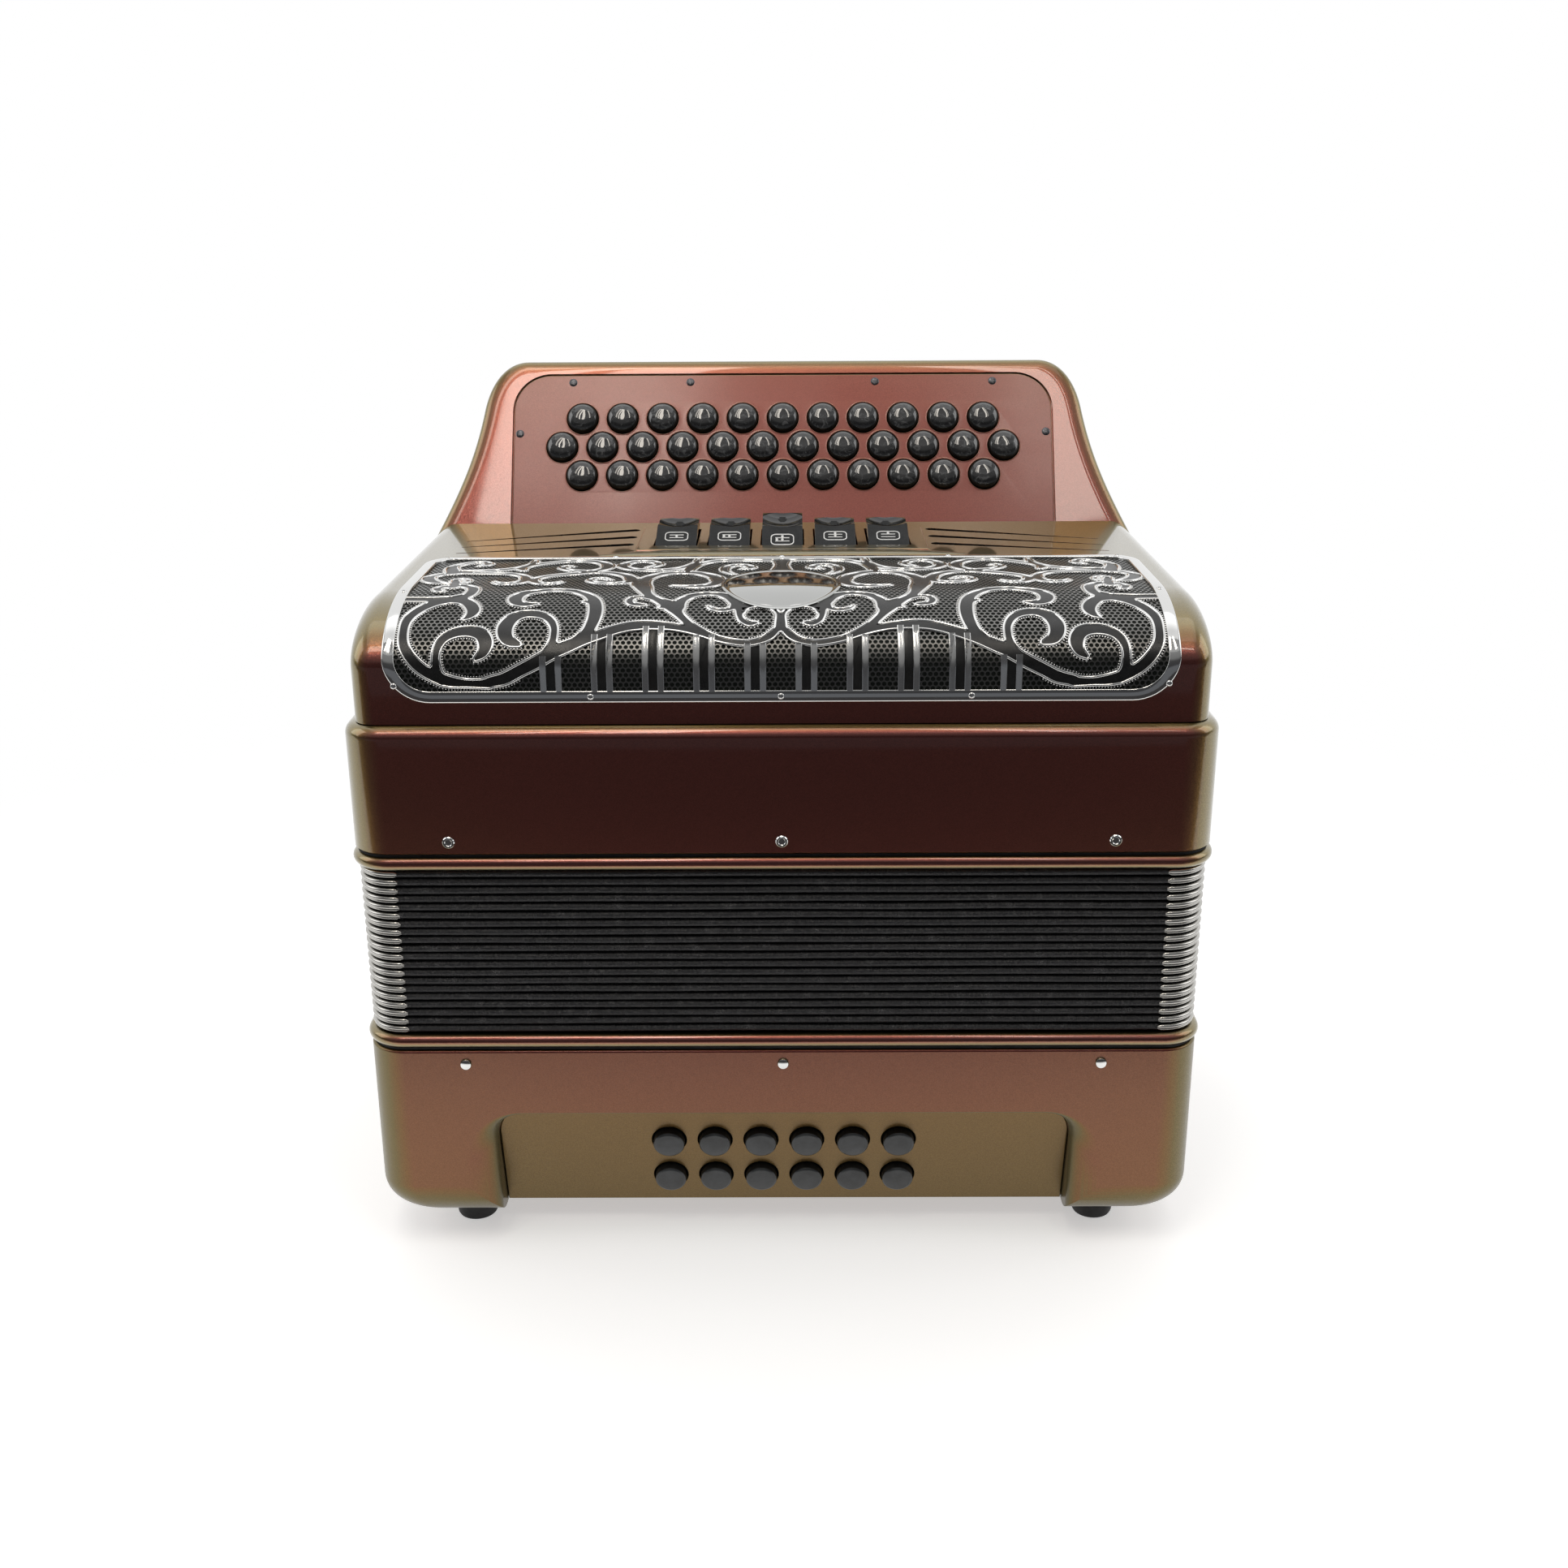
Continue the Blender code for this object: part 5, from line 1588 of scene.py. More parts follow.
def leather_group():
    """Leathercloth: pebbled grain with fine creases, and pale rubbed spots on the high grains."""
    tree, given, result = shader_group(
        "leather_grain",
        [("Scale", "NodeSocketFloat", 900.0)],
        [("Height", "NodeSocketFloat"), ("Rubbed", "NodeSocketFloat")],
    )
    where = tree.nodes.new("ShaderNodeTexCoord")
    warp = node(tree, "ShaderNodeTexNoise", Scale=300.0, Detail=3.0)
    bend = node(tree, "ShaderNodeVectorMath", operation="MULTIPLY_ADD")
    bend.inputs[1].default_value = (0.0012, 0.0012, 0.0012)
    pebbles = node(tree, "ShaderNodeTexVoronoi", feature="DISTANCE_TO_EDGE")
    fine = node(tree, "ShaderNodeTexNoise", Scale=2600.0, Detail=3.0)
    crown = node(tree, "ShaderNodeMapRange", From_Max=0.35)
    both = node(tree, "ShaderNodeMath", operation="MULTIPLY_ADD")
    both.inputs[1].default_value = 0.5
    patches = node(tree, "ShaderNodeTexNoise", Scale=160.0, Detail=2.0)
    few = node(tree, "ShaderNodeMapRange", From_Min=0.55, From_Max=0.72)
    spots = node(tree, "ShaderNodeMapRange", From_Min=0.52, From_Max=0.62)
    rubbed = node(tree, "ShaderNodeMath", operation="MULTIPLY")
    link(where, "Object", warp, "Vector")
    link(warp, "Color", bend, 0)
    link(where, "Object", bend, 2)
    link(bend, 0, pebbles, "Vector")
    link(given, "Scale", pebbles, "Scale")
    link(where, "Object", fine, "Vector")
    link(pebbles, "Distance", crown, "Value")
    link(fine, "Fac", both, 0)
    link(crown, "Result", both, 2)
    link(where, "Object", patches, "Vector")
    link(patches, "Fac", few, "Value")
    link(fine, "Fac", spots, "Value")
    link(few, "Result", rubbed, 0)
    link(spots, "Result", rubbed, 1)
    link(both, 0, result, "Height")
    link(rubbed, 0, result, "Rubbed")
    return tree


def marble_group():
    """Cloudy streaks of pearl in a dark ground, different on every button."""
    tree, given, result = shader_group(
        "pearl_streaks",
        [
            ("Scale", "NodeSocketFloat", 120.0), ("Stretch", "NodeSocketFloat", 3.0),
            ("Threshold", "NodeSocketFloat", 0.52)
        ],
        [("Streaks", "NodeSocketFloat")],
    )
    where = tree.nodes.new("ShaderNodeTexCoord")
    spread = tree.nodes.new("ShaderNodeCombineXYZ")
    spread.inputs["X"].default_value = 1.0
    spread.inputs["Z"].default_value = 1.0
    drawn = node(tree, "ShaderNodeVectorMath", operation="MULTIPLY")
    veins = node(tree, "ShaderNodeTexNoise", Detail=6.0, Roughness=0.6, Distortion=1.6)
    sharp = node(tree, "ShaderNodeMapRange")
    high = node(tree, "ShaderNodeMath", operation="ADD")
    high.inputs[1].default_value = 0.14
    link(where, "Object", drawn, 0)
    link(given, "Stretch", spread, "Y")
    link(spread, 0, drawn, 1)
    link(drawn, 0, veins, "Vector")
    link(given, "Scale", veins, "Scale")
    link(veins, "Fac", sharp, "Value")
    link(given, "Threshold", sharp, "From Min")
    link(given, "Threshold", high, 0)
    link(high, 0, sharp, "From Max")
    link(sharp, "Result", result, "Streaks")
    return tree


FLAKES = flake_group()
UNEVEN = ripple_group()
LEATHER = leather_group()
MARBLE = marble_group()


def use(tree, group, **values):
    """A group node with its inputs set."""
    made = tree.nodes.new("ShaderNodeGroup")
    made.node_tree = group
    for key, value in values.items():
        made.inputs[key].default_value = value
    return made


def colour_ramp(tree, stops):
    """A colour ramp from places and colours."""
    ramp = tree.nodes.new("ShaderNodeValToRGB")
    elements = ramp.color_ramp.elements
    while len(elements) > 1:
        elements.remove(elements[-1])
    elements[0].position = stops[0][0]
    elements[0].color = (*stops[0][1], 1)
    for place, colour in stops[1:]:
        elements.new(place).color = (*colour, 1)
    return ramp


def turning_paint(
    name, stops, roughness=0.3, metallic=0.75, lean=0.1, coat=1.0, coat_roughness=0.03, depth=1.0
):
    """Flake paint whose colour turns from copper to olive as the surface turns away, under clear lacquer."""
    look, shader, tree = new_look(name)
    facing = node(tree, "ShaderNodeLayerWeight", Blend=0.5)
    ramp = colour_ramp(tree, [(place, [value * depth for value in colour]) for place, colour in stops])
    flakes = use(tree, FLAKES, Scale=4200.0, Lean=lean, Contrast=0.25)
    tint = node(tree, "ShaderNodeVectorMath", operation="SCALE")
    even = use(tree, UNEVEN, Scale=28.0, Low=coat_roughness, High=coat_roughness * 1.3)
    link(facing, "Facing", ramp, "Fac")
    link(ramp, "Color", tint, 0)
    link(flakes, "Shade", tint, "Scale")
    link(tint, 0, shader, "Base Color")
    link(flakes, "Normal", shader, "Normal")
    link(even, "Roughness", shader, "Coat Roughness")
    shader.inputs["Metallic"].default_value = metallic
    shader.inputs["Roughness"].default_value = roughness
    shader.inputs["Coat Weight"].default_value = coat
    shader.inputs["Coat IOR"].default_value = 1.6
    return look


def bright_metal(name, colour, low, high, scale=60.0, bump=0.0):
    """Plated metal with slow unevenness in its polish."""
    look, shader, tree = new_look(name)
    even = use(tree, UNEVEN, Scale=scale, Low=low, High=high)
    link(even, "Roughness", shader, "Roughness")
    if bump:
        grain = node(tree, "ShaderNodeTexNoise", Scale=1800.0, Detail=3.0)
        where = tree.nodes.new("ShaderNodeTexCoord")
        height = node(tree, "ShaderNodeBump", Strength=bump, Distance=0.0002)
        link(where, "Object", grain, "Vector")
        link(grain, "Fac", height, "Height")
        link(height, "Normal", shader, "Normal")
    shader.inputs["Base Color"].default_value = (*colour, 1)
    shader.inputs["Metallic"].default_value = 1.0
    return look


def moulded(name, dark, light, low, high, bump=0.15, scale=700.0, coat=0.0):
    """Plastic or rubber with a faint mottle and a fine moulded skin."""
    look, shader, tree = new_look(name)
    where = tree.nodes.new("ShaderNodeTexCoord")
    mottle = node(tree, "ShaderNodeTexNoise", Scale=scale * 0.5, Detail=4.0)
    skin = node(tree, "ShaderNodeTexNoise", Scale=scale * 3, Detail=2.0)
    shade = colour_ramp(tree, [(0.35, dark), (0.68, light)])
    even = use(tree, UNEVEN, Scale=90.0, Low=low, High=high)
    height = node(tree, "ShaderNodeBump", Strength=bump, Distance=0.0002)
    for texture in (mottle, skin):
        link(where, "Object", texture, "Vector")
    link(mottle, "Fac", shade, "Fac")
    link(shade, "Color", shader, "Base Color")
    link(even, "Roughness", shader, "Roughness")
    link(skin, "Fac", height, "Height")
    link(height, "Normal", shader, "Normal")
    shader.inputs["Coat Weight"].default_value = coat
    shader.inputs["Coat Roughness"].default_value = 0.03
    return look


def leathercloth(name):
    """Black leathercloth of the bellows, pale where the grain is rubbed."""
    look, shader, tree = new_look(name)
    grain = use(tree, LEATHER, Scale=900.0)
    shade = colour_ramp(tree, [(0.0, (0.018, 0.018, 0.02)), (1.0, (0.16, 0.16, 0.165))])
    height = node(tree, "ShaderNodeBump", Strength=0.55, Distance=0.0003)
    even = use(tree, UNEVEN, Scale=70.0, Low=0.36, High=0.5)
    link(grain, "Rubbed", shade, "Fac")
    link(shade, "Color", shader, "Base Color")
    link(grain, "Height", height, "Height")
    link(height, "Normal", shader, "Normal")
    link(even, "Roughness", shader, "Roughness")
    return look


def pearl(name):
    """Black celluloid with grey pearl streaks under a polished skin."""
    look, shader, tree = new_look(name)
    marble = use(tree, MARBLE, Scale=260.0, Stretch=2.2, Threshold=0.48)
    shade = colour_ramp(
        tree, [(0.0, (0.004, 0.004, 0.0045)), (0.5, (0.012, 0.0125, 0.0135)), (1.0, (0.075, 0.077, 0.08))]
    )
    link(marble, "Streaks", shade, "Fac")
    link(shade, "Color", shader, "Base Color")
    shader.inputs["Roughness"].default_value = 0.5
    shader.inputs["Specular IOR Level"].default_value = 0.2
    shader.inputs["Coat Weight"].default_value = 1.0
    shader.inputs["Coat IOR"].default_value = 1.9
    shader.inputs["Coat Roughness"].default_value = 0.02
    return look


def woven(name, colour):
    """Fine dark cloth, woven over and under."""
    look, shader, tree = new_look(name)
    where = tree.nodes.new("ShaderNodeTexCoord")
    threads = node(tree, "ShaderNodeTexChecker", Scale=1400.0)
    threads.inputs["Color1"].default_value = (*colour, 1)
    threads.inputs["Color2"].default_value = (*[value * 0.45 for value in colour], 1)
    height = node(tree, "ShaderNodeBump", Strength=0.4, Distance=0.0002)
    link(where, "Object", threads, "Vector")
    link(threads, "Color", shader, "Base Color")
    link(threads, "Fac", height, "Height")
    link(height, "Normal", shader, "Normal")
    shader.inputs["Roughness"].default_value = 0.85
    return look


PAINT_TURN = [
    (0.0, (0.25, 0.065, 0.055)),
    (0.07, (0.32, 0.09, 0.065)),
    (0.14, (0.34, 0.145, 0.075)),
    (0.22, (0.31, 0.165, 0.062)),
    (0.36, (0.25, 0.185, 0.068)),
    (0.6, (0.24, 0.195, 0.08)),
    (1.0, (0.21, 0.185, 0.1)),
]
GLOSS_PAINT = turning_paint("gloss_paint", PAINT_TURN, roughness=0.3, metallic=1.0, coat_roughness=0.035)
PLATE_PAINT = turning_paint("plate_paint", PAINT_TURN, roughness=0.52, metallic=1.0, coat_roughness=0.17)
SATIN_PAINT = turning_paint(
    "satin_paint", PAINT_TURN, roughness=0.38, metallic=0.95, coat=0.35, coat_roughness=0.12, depth=0.72
)
BLACK_RUBBER = moulded("foot_rubber", (0.012, 0.012, 0.013), (0.022, 0.022, 0.023), 0.6, 0.8, bump=0.3)
BLACK_SIDE = moulded("button_side", (0.003, 0.003, 0.003), (0.007, 0.007, 0.007), 0.4, 0.5)
SLATE = moulded(
    "bass_button_face", (0.016, 0.018, 0.02), (0.05, 0.055, 0.06), 0.35, 0.45, scale=260.0, coat=0.3
)
SWITCH_FACE = moulded(
    "switch_facet", (0.01, 0.011, 0.012), (0.017, 0.018, 0.019), 0.5, 0.6, bump=0.2, scale=1200.0
)
SWITCH_FACE.node_tree.nodes["Principled BSDF"].inputs["Specular IOR Level"].default_value = 0.25
SWITCH_BLACK = moulded(
    "switch_black", (0.004, 0.004, 0.005), (0.007, 0.007, 0.008), 0.06, 0.12, bump=0.02, coat=0.3
)
WHITE_MARK = moulded("register_mark", (0.75, 0.75, 0.74), (0.85, 0.85, 0.84), 0.3, 0.4)
GASKET = moulded("black_gasket", (0.006, 0.006, 0.006), (0.012, 0.012, 0.012), 0.7, 0.9)
CHROME = bright_metal("chrome", (0.74, 0.74, 0.73), 0.06, 0.13)
BAR_METAL = bright_metal("bar_metal", (0.82, 0.82, 0.81), 0.16, 0.22)
BADGE_METAL = bright_metal("badge_metal", (0.46, 0.465, 0.455), 0.05, 0.1)
SHEET_METAL = bright_metal("perforated_sheet", (0.17, 0.167, 0.16), 0.26, 0.36, bump=0.1)
NICKEL = bright_metal("satin_nickel", (0.5, 0.49, 0.465), 0.16, 0.22)
DARK_STEEL = bright_metal("dark_screw", (0.12, 0.12, 0.13), 0.25, 0.35)
# Black enamel of the ornament bands and key bars; the same black is put on the sound slots' inner walls as painted
# shade
ENAMEL_AND_SLOT_SHADE = moulded("black_enamel_and_slot_shade", (0.008, 0.008, 0.008), (0.014, 0.014, 0.014), 0.25, 0.4, bump=0.1)
GRILLE_CLOTH = woven("grille_cloth", (0.005, 0.01, 0.006))
CLOTH = leathercloth("bellows_leathercloth")
PEARL = pearl("black_pearl")


# ---------------------------------------------------------------- assembly


def shade_gasket(piece, seat):
    """Make the flat lip of a bellows frame black, as the gasket there is."""
    lip = FRAME_HEIGHT - 2 * BEAD_RADIUS
    for face in piece.data.polygons:
        face.material_index = int(abs(face.center.z / MM - seat) < lip + 0.05 and abs(face.normal.z) < 0.5)


XS, WAYS, FIELD = ornament_field()


def clear_of_ornament(x, s):
    """Distance from a flat point to the ornament, the key bars or the badge."""
    column = int(round((x + GRILLE_HALF) / GRID))
    row = int(round(s / GRID))
    band = FIELD[row, column]
    bars = min(abs(abs(x) - (k + 0.5) * KEY_BAR_PITCH) - 4.3 if s < BAR_TOPS[k] else 9.0 for k in range(5))
    oval = 26 * (math.hypot((x - BADGE[0]) / BADGE[2], (s - BADGE[1]) / BADGE[3]) - 1)
    return min(band, bars, oval)


# Bass side
case = finish("bass_case", bass_case(), "bass_side", [SATIN_PAINT], weighted=True)
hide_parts("bass_casing")
finish("rubber_feet", rubber_feet(), "bass_side", [BLACK_RUBBER])
panel = finish("bass_panel", bass_panel(), "bass_side", [SATIN_PAINT], weighted=True)
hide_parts("bass_button_panel")
for row, column, x, y in bass_button_places():
    name = f"bass_button_r{row}_{column:02d}"
    top = BASS_BUTTON_RISE
    radius = BASS_BUTTON_RADIUS
    head = [
        (radius, top - 0.9), (radius - 0.12, top - 0.6), (radius - 0.85, top - 0.08), (radius - 1.1, top),
        (0, top)
    ]
    mesh = button(radius, head, 48, BASS_FACE @ Matrix.Translation((x, y, 0)))
    face_up = BASS_FACE.to_3x3() @ Vector((0, 0, 1))
    plane = BASS_FACE @ Vector((x, y, 0))
    piece = finish(
        f"bass_key_r{row}_{column:02d}",
        mesh,
        name,
        [BLACK_SIDE, SLATE],
    )
    for face in piece.data.polygons:
        world = face.center / MM + Vector((0, MIDDLE_Y, 0))
        face.material_index = int((world - plane).dot(face_up) > top - 0.5)
    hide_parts(name)

# Bellows with their frames and corner caps
bellows = finish("bellows_folds", bellows_mesh(), None, [CLOTH], sharp=math.radians(60))
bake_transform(bellows)
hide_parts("bellows")
caps = finish(
    "bellows_corner_caps", corner_caps(NICKEL), None, [NICKEL], sharp=math.radians(60)
)
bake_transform(caps)
bass_frame = finish(
    "bass_bead", frame_bead(BASS_TOP + CLEARANCE, 1), "bass_side", [GLOSS_PAINT, GASKET]
)
shade_gasket(bass_frame, BASS_TOP + CLEARANCE)
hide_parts("bass_bellows_frame")
treble_frame = finish(
    "treble_bead", frame_bead(BAND_BASE - CLEARANCE, -1), "treble_side", [GLOSS_PAINT, GASKET]
)
shade_gasket(treble_frame, BAND_BASE - CLEARANCE)
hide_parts("treble_bellows_frame")

# Treble box and keyboard
band = finish("treble_band", treble_band(), "treble_side", [GLOSS_PAINT])
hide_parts("treble_body")
housing = finish(
    "keyboard_housing", keyboard_housing(), "treble_side", [GLOSS_PAINT], weighted=True
)
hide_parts("treble_body")
plate = finish("button_plate", keyboard_plate(), "treble_side", [PLATE_PAINT], weighted=True)
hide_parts("keyboard_plate")
for row, number, x, y in treble_button_places():
    name = f"treble_button_r{row}_{number:02d}"
    radius = TREBLE_BUTTON_RADIUS
    cap, shoulder, rise = 0.855 * radius, 2.4, TREBLE_BUTTON_RISE
    head = [
        (radius - 0.2, 0.2), (radius - 0.25, 1.0), (radius - 0.42, 1.6), (radius - 0.72, 2.1), (cap, shoulder)
    ]
    head += [
        (share * cap, rise - (rise - shoulder) * share**3)
        for share in (0.95, 0.88, 0.8, 0.7, 0.6, 0.5, 0.4, 0.3, 0.2, 0.1)
    ]
    head.append((0, rise))
    place = KEYBOARD @ Matrix.Translation((x, y, 0))
    mesh = button(radius, head, 48, place)
    piece = finish(f"treble_key_r{row}_{number:02d}", mesh, name, [BLACK_SIDE, PEARL])
    for face in piece.data.polygons:
        world = face.center / MM + Vector((0, MIDDLE_Y, 0))
        face.material_index = int((place.inverted() @ world).z > shoulder)
    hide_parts(name)

# Cover, switches and grille
cover = finish("treble_cover", cover_mesh(), "treble_side", [GLOSS_PAINT, ENAMEL_AND_SLOT_SHADE], weighted=True)
# Painted shade: the upright walls inside the sound slots take the black material, so that the slots look dark as
# if in shadow
for face in cover.data.polygons:
    x, y, z = face.center / MM
    y += MIDDLE_Y
    slot_wall_shade = abs(x) > SLOT_INNER_X - 1 and 118 < y < 186 and z > COVER_TOP - COVER_WALL - 0.1
    face.material_index = int(slot_wall_shade and abs(face.normal.z) < 0.35)
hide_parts("treble_casing")
finish("switch_platform", platform_mesh(), "treble_side", [GLOSS_PAINT], weighted=True)
finish("switch_ridge", ridge_mesh(), "treble_side", [GLOSS_PAINT])
for number, x in enumerate(switch_places(), start=1):
    name = f"register_switch_{number}"
    place = switch_place(number, x)
    mesh = switch_mesh(number, x)
    piece = finish(
        f"switch_{number}", mesh, name, [SWITCH_BLACK, SWITCH_FACE], sharp=math.radians(28)
    )
    facet = place.to_3x3() @ Vector((0, -math.sin(FACET_SLOPE), math.cos(FACET_SLOPE)))
    for face in piece.data.polygons:
        face.material_index = int(face.normal.dot(facet) > 0.995)
    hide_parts(name)
    finish(f"switch_sign_{number}", register_sign(number, x), name, [WHITE_MARK])

frame_piece = finish(
    "grille_frame", grille_frame(), "treble_side", [CHROME], sharp=math.radians(50)
)
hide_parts("grille")
tiles = repeated(hole_tile(), hole_places(clear_of_ornament), SHEET_METAL)
sheet = finish("grille_sheet", wrapped(tiles), "treble_side", [SHEET_METAL])
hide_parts("grille")
finish("grille_cloth", cloth_mesh(), "treble_side", [GRILLE_CLOTH])
bars = key_bars(1.35, 0.9, 1.9, 0.4, (-2.95, 2.95))
finish("key_bars_bright", bars, "treble_side", [BAR_METAL])
finish("key_bars_black", key_bars(1.65, 0.9, 1.35, 0.1, (0.0,)), "treble_side", [ENAMEL_AND_SLOT_SHADE])
lines = rims(*area_below(XS, WAYS, FIELD, 0.55))
finish(
    "ornament_lines", wrapped(bright_lines(lines)), "treble_side", [CHROME],
    sharp=math.radians(70)
)
points, faces = area_below(XS, WAYS, FIELD, 0.3)
band_mesh = mesh_of([(x, s, 1.35) for x, s in points], faces)
finish("ornament_bands", wrapped(band_mesh), "treble_side", [ENAMEL_AND_SLOT_SHADE], sharp=math.radians(70))
tooth = softened(block((-0.42, -0.28, -0.3), (0.42, 0.28, 0.35)), 0.12, 1)
teeth = repeated(tooth, tooth_places(lines), CHROME)
finish("ornament_teeth", wrapped(teeth), "treble_side", [CHROME], sharp=math.radians(70))
finish("grille_badge", badge_mesh(), "treble_side", [BADGE_METAL])

# Screws and pins
GRILLE_SCREWS = ((148.7, 7), (73.2, 2.5), (150.5, 59.5), (145, 122.6), (72, 124.4))
PLATE_SCREWS = ((102.7, 71.5), (45.2, 71.5), (128.3, 45.4))
grille_screws = [
    on_grille(x * side, s, 1.75, 0.3 + k)
    for k, (x, s) in enumerate(GRILLE_SCREWS)
    for side in (-1, 1)
]
grille_screws += [on_grille(0, 2.5, 1.75, 0.5), on_grille(0, 124.4, 1.75, 0.9)]
screws = repeated(screw_head(), grille_screws, CHROME)
finish("grille_screws", screws, "treble_side", [CHROME])
plate_screws = [
    KEYBOARD @ Matrix.Translation((side * x, y, 0.0)) @ Matrix.Rotation(0.4 + k, 4, "Z")
    for k, (x, y) in enumerate(PLATE_SCREWS)
    for side in (-1, 1)
]
finish(
    "plate_screws", repeated(screw_head(2.0, 0.45), plate_screws, DARK_STEEL), "treble_side", [DARK_STEEL],
)


def socket_screw():
    """A bright ring with a dark socket, as fixes the reed boxes through the band."""
    profile = [
        (0, 0.25), (1.2, 0.25), (1.25, 0.7), (1.5, 0.95), (2.1, 0.9), (2.45, 0.5), (2.5, -1.0), (0, -1.0)
    ]
    return turned(profile, 32, Matrix.Identity(4))


def bright_pin():
    """A plain round pin with a softened end."""
    profile = [(0, -1.0), (2.3, -1.0), (2.3, 0.5), (2.1, 0.9), (1.5, 1.05), (0, 1.1)]
    return turned(profile, 32, Matrix.Identity(4))


band_places = [Matrix.Translation((x, 0.0, 185.9)) @ FROM_FRONT for x in (-131.2, 0.0, 131.2)]
case_places = [Matrix.Translation((x, 0.0, 88.2)) @ FROM_FRONT for x in (-130.6, 0.0, 130.6)]
finish("band_screws", repeated(socket_screw(), band_places, CHROME), "treble_side", [CHROME])
finish("case_pins", repeated(bright_pin(), case_places, CHROME), "bass_side", [CHROME])


# ---------------------------------------------------------------- camera, floor and light


SHEET_END = -0.33
FLOOR_END = -0.98
CAMERA_LENS = 39.913
CAMERA_PLACE = (0.00493, -0.76632, 0.42832)
CAMERA_TURN = (-0.352, 18.874, 0.32)  # yaw, pitch and roll in degrees
WINDOW_AIM = (0, 0.09, 0.31)
WINDOW_HEIGHT = 0.75
WINDOW_COLOUR = (1, 0.93, 0.83)


def aim():
    """The camera that took the photograph."""
    camera = bpy.data.cameras.new("camera")
    camera.sensor_width = 36.0
    camera.lens = CAMERA_LENS
    camera.clip_end = 30.0
    obj = bpy.data.objects.new("camera", camera)
    bpy.context.scene.collection.objects.link(obj)
    yaw, pitch, roll = [math.radians(angle) for angle in CAMERA_TURN]
    forward = Vector((math.sin(yaw) * math.cos(pitch), math.cos(yaw) * math.cos(pitch), -math.sin(pitch)))
    right = Vector((math.cos(yaw), -math.sin(yaw), 0))
    up = right.cross(forward)
    across = right * math.cos(roll) - up * math.sin(roll)
    upward = right * math.sin(roll) + up * math.cos(roll)
    turn = Matrix((across, upward, -forward)).transposed().to_4x4()
    obj.matrix_world = Matrix.Translation(CAMERA_PLACE) @ turn
    bpy.context.scene.camera = obj
    return obj


def seen_pale(tree, rays, behind):
    """Where the white background shows: to the camera, and behind the object in metal and glass too."""
    mirrored = node(tree, "ShaderNodeMath", operation="MAXIMUM")
    masked = node(tree, "ShaderNodeMath", operation="MULTIPLY")
    either = node(tree, "ShaderNodeMath", operation="MAXIMUM")
    link(rays, "Is Glossy Ray", mirrored, 0)
    link(rays, "Is Transmission Ray", mirrored, 1)
    link(mirrored, 0, masked, 0)
    tree.links.new(behind, masked.inputs[1])
    link(masked, 0, either, 0)
    link(rays, "Is Camera Ray", either, 1)
    return either.outputs[0]


def floor():
    """A wide pale floor. Past the edge of the sheet in front, only the camera sees it pale."""
    obj = bpy.data.objects.new(
        "floor", mesh_of([(-8, FLOOR_END, 0), (8, FLOOR_END, 0), (8, 8, 0), (-8, 8, 0)], [(0, 1, 2, 3)])
    )
    bpy.context.scene.collection.objects.link(obj)
    look, shader, tree = new_look("floor")
    links = tree.links
    where = tree.nodes.new("ShaderNodeTexCoord")
    split = tree.nodes.new("ShaderNodeSeparateXYZ")
    near = node(
        tree, "ShaderNodeMapRange", interpolation_type="SMOOTHSTEP", From_Min=SHEET_END - 0.08,
        From_Max=SHEET_END + 0.04
    )
    rays = tree.nodes.new("ShaderNodeLightPath")
    seen = seen_pale(tree, rays, near.outputs["Result"])
    pale = node(tree, "ShaderNodeMath", operation="MAXIMUM")
    mix = node(tree, "ShaderNodeMix", data_type="RGBA")
    link(where, "Object", split, 0)
    link(split, "Y", near, "Value")
    link(near, "Result", pale, 0)
    link(rays, "Is Camera Ray", pale, 1)
    link(pale, 0, mix, "Factor")
    mix.inputs["A"].default_value = (0.05, 0.048, 0.05, 1)
    mix.inputs["B"].default_value = (0.86, 0.86, 0.86, 1)
    link(mix, "Result", shader, "Base Color")
    length = node(tree, "ShaderNodeVectorMath", operation="LENGTH")
    far = node(tree, "ShaderNodeMapRange", interpolation_type="SMOOTHSTEP", From_Min=0.3, From_Max=0.75)
    glow = node(tree, "ShaderNodeEmission", Color=(1, 1, 1, 1))
    fade = node(tree, "ShaderNodeMath", operation="MULTIPLY")
    blend = tree.nodes.new("ShaderNodeMixShader")
    link(where, "Object", length, 0)
    link(length, "Value", far, "Value")
    link(far, "Result", fade, 0)
    links.new(seen, fade.inputs[1])
    link(fade, 0, blend, "Fac")
    link(shader, 0, blend, 1)
    link(glow, 0, blend, 2)
    links.new(blend.outputs[0], tree.nodes["Material Output"].inputs["Surface"])
    lift = node(tree, "ShaderNodeMath", operation="MULTIPLY")
    lift.inputs[1].default_value = 0.46
    links.new(seen, lift.inputs[0])
    link(lift, 0, shader, "Emission Strength")
    shader.inputs["Emission Color"].default_value = (1, 1, 1, 1)
    shader.inputs["Roughness"].default_value = 0.6
    shader.inputs["Specular IOR Level"].default_value = 0.1
    obj.data.materials.append(look)


def soft_light(name, place, target, width, height, power, colour=(1, 1, 1)):
    """A large soft area light aimed at a point."""
    data = bpy.data.lights.new(name, "AREA")
    data.shape = "RECTANGLE"
    data.size = width
    data.size_y = height
    data.energy = power
    data.color = colour
    obj = bpy.data.objects.new(name, data)
    bpy.context.scene.collection.objects.link(obj)
    obj.location = place
    obj.rotation_euler = (Vector(target) - Vector(place)).to_track_quat("-Z", "Y").to_euler()
    return obj


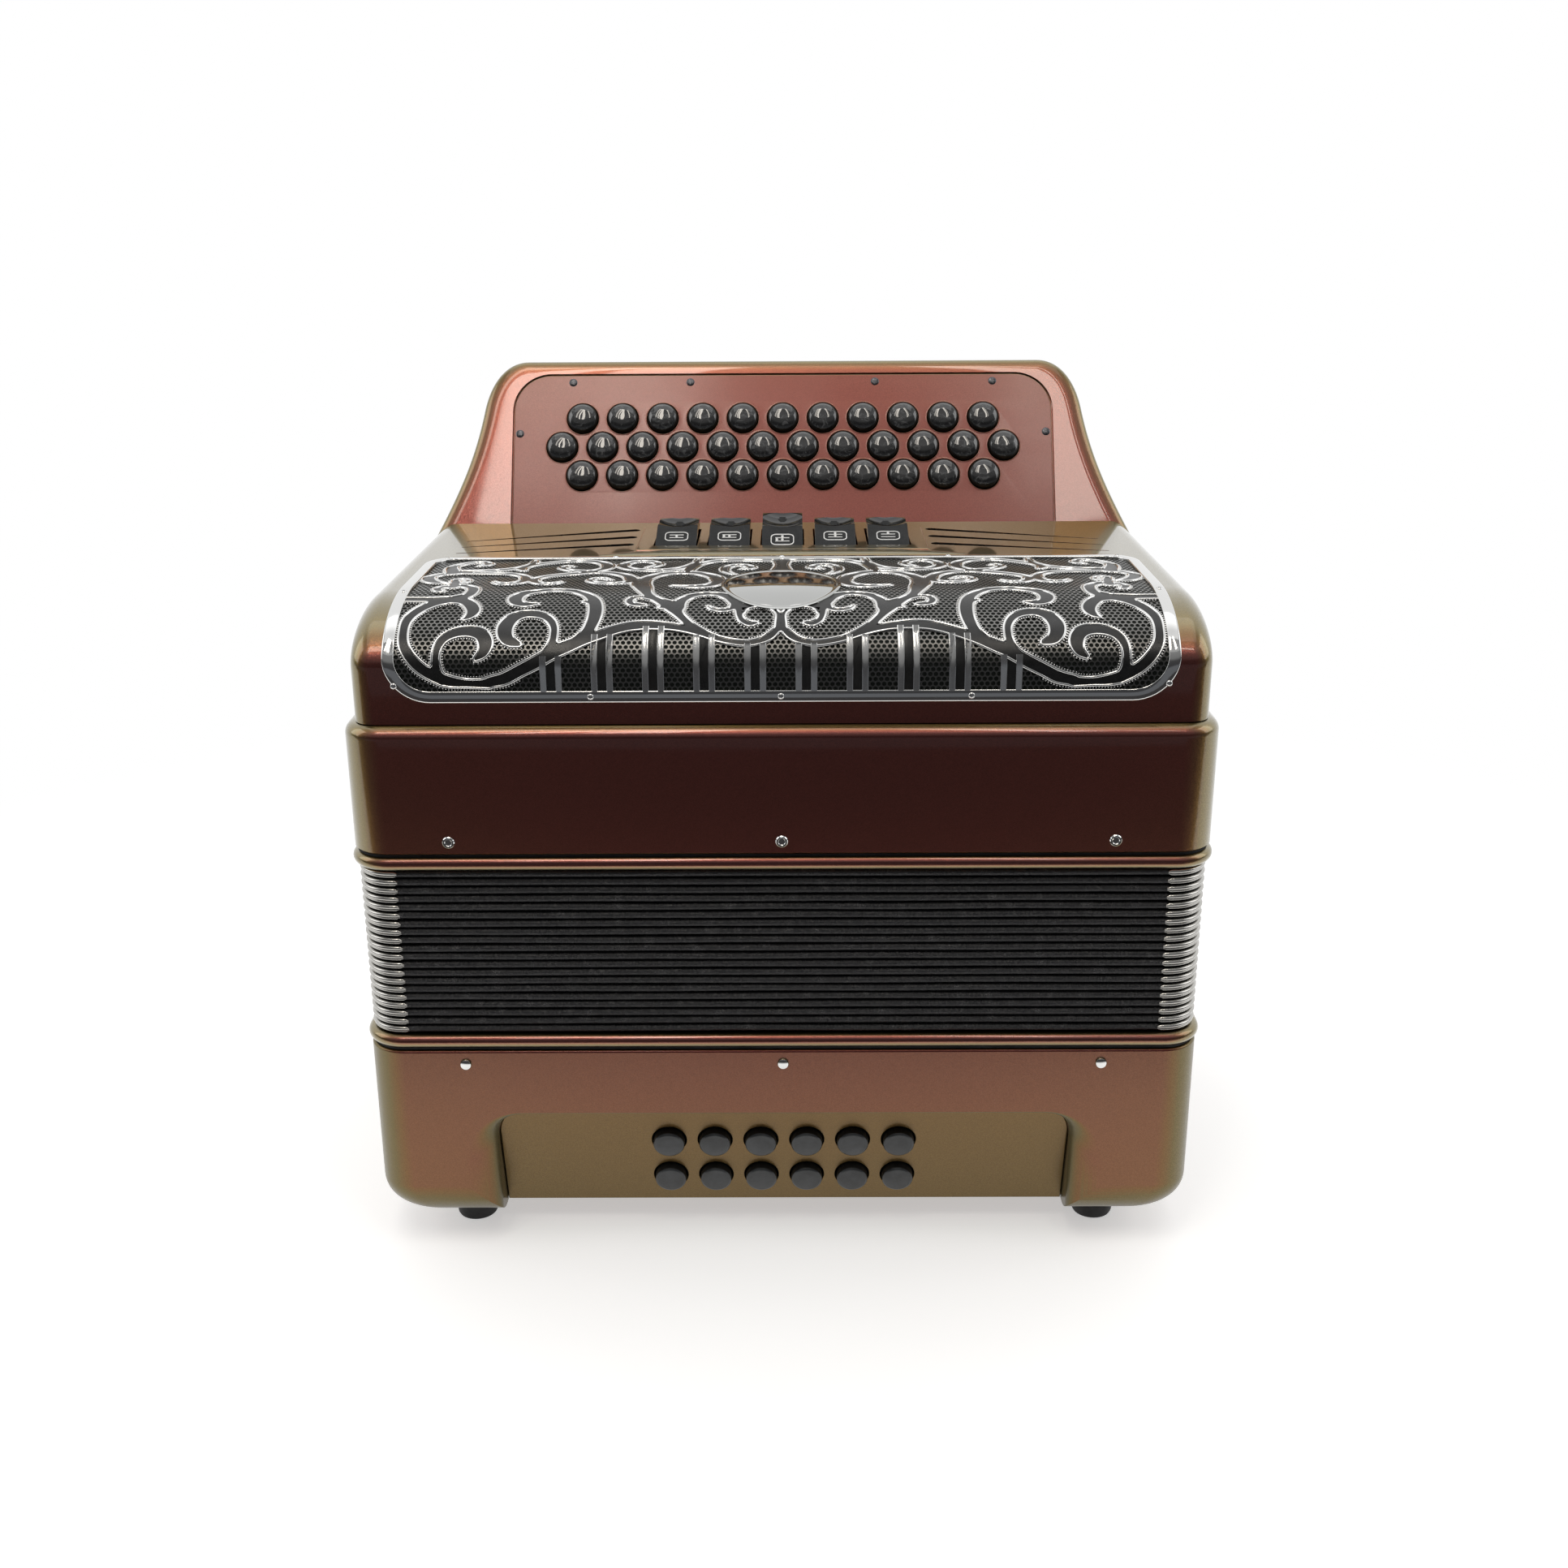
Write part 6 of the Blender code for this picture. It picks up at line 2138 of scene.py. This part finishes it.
def surroundings():
    """White for the camera. Reflections see white behind, a bright ceiling and a dim room in front."""
    world = bpy.data.worlds.new("studio")
    bpy.context.scene.world = world
    world.use_nodes = True
    tree = world.node_tree
    nodes, links = tree.nodes, tree.links
    nodes.clear()
    where = nodes.new("ShaderNodeTexCoord")
    split = nodes.new("ShaderNodeSeparateXYZ")
    rise = colour_ramp(
        tree,
        [
            (0.0, (0.13, 0.135, 0.145)), (0.02, (0.12, 0.125, 0.135)), (0.05, (0.045, 0.045, 0.048)),
            (0.3, (0.06, 0.06, 0.062)), (0.42, (0.2, 0.2, 0.2)), (0.67, (0.24, 0.24, 0.24)),
            (0.685, (0.46, 0.46, 0.46)), (0.82, (0.34, 0.34, 0.34)), (1.0, (0.18, 0.18, 0.18))
        ]
    )
    back = node(tree, "ShaderNodeMapRange", interpolation_type="SMOOTHSTEP", From_Min=0.0, From_Max=0.6)
    room = node(tree, "ShaderNodeMix", data_type="RGBA", B=(1, 1, 1, 1))
    studio = nodes.new("ShaderNodeBackground")
    white = nodes.new("ShaderNodeBackground")
    rays = nodes.new("ShaderNodeLightPath")
    mix = nodes.new("ShaderNodeMixShader")
    out = nodes.new("ShaderNodeOutputWorld")
    link(where, "Generated", split, 0)
    link(split, "Z", rise, "Fac")
    link(split, "Y", back, "Value")
    link(back, "Result", room, "Factor")
    link(rise, "Color", room, "A")
    link(room, "Result", studio, "Color")
    studio.inputs["Strength"].default_value = 1.0
    white.inputs["Color"].default_value = (1, 1, 1, 1)
    white.inputs["Strength"].default_value = 1.0
    links.new(seen_pale(tree, rays, back.outputs["Result"]), mix.inputs["Fac"])
    link(studio, 0, mix, 1)
    link(white, 0, mix, 2)
    link(mix, 0, out, "Surface")


aim()
floor()
surroundings()
soft_light("overhead", (0.0, 0.1, 1.7), (0, 0, 0.2), 1.8, 1.2, 4.5)
for name, place, width, power in (
    ("window_left", (-0.17, -0.73, 1.57), 0.12, 1.7),
    ("window_left_edge", (-0.29, -0.71, 1.57), 0.06, 1.0),
    ("window_left_glow", (-0.45, -0.62, 1.57), 0.16, 1.3),
    ("window_right", (0.29, -0.71, 1.57), 0.08, 1.1),
    ("window_right_edge", (0.38, -0.68, 1.57), 0.03, 0.4),
):
    soft_light(name, place, WINDOW_AIM, width, WINDOW_HEIGHT, power, WINDOW_COLOUR)
soft_light("left_side", (-1.35, -0.1, 0.9), (0, 0, 0.2), 0.8, 1.0, 3.9)
soft_light("right_side", (1.35, -0.1, 0.9), (0, 0, 0.2), 0.8, 1.0, 3.9)
bpy.context.scene.view_settings.view_transform = "Standard"
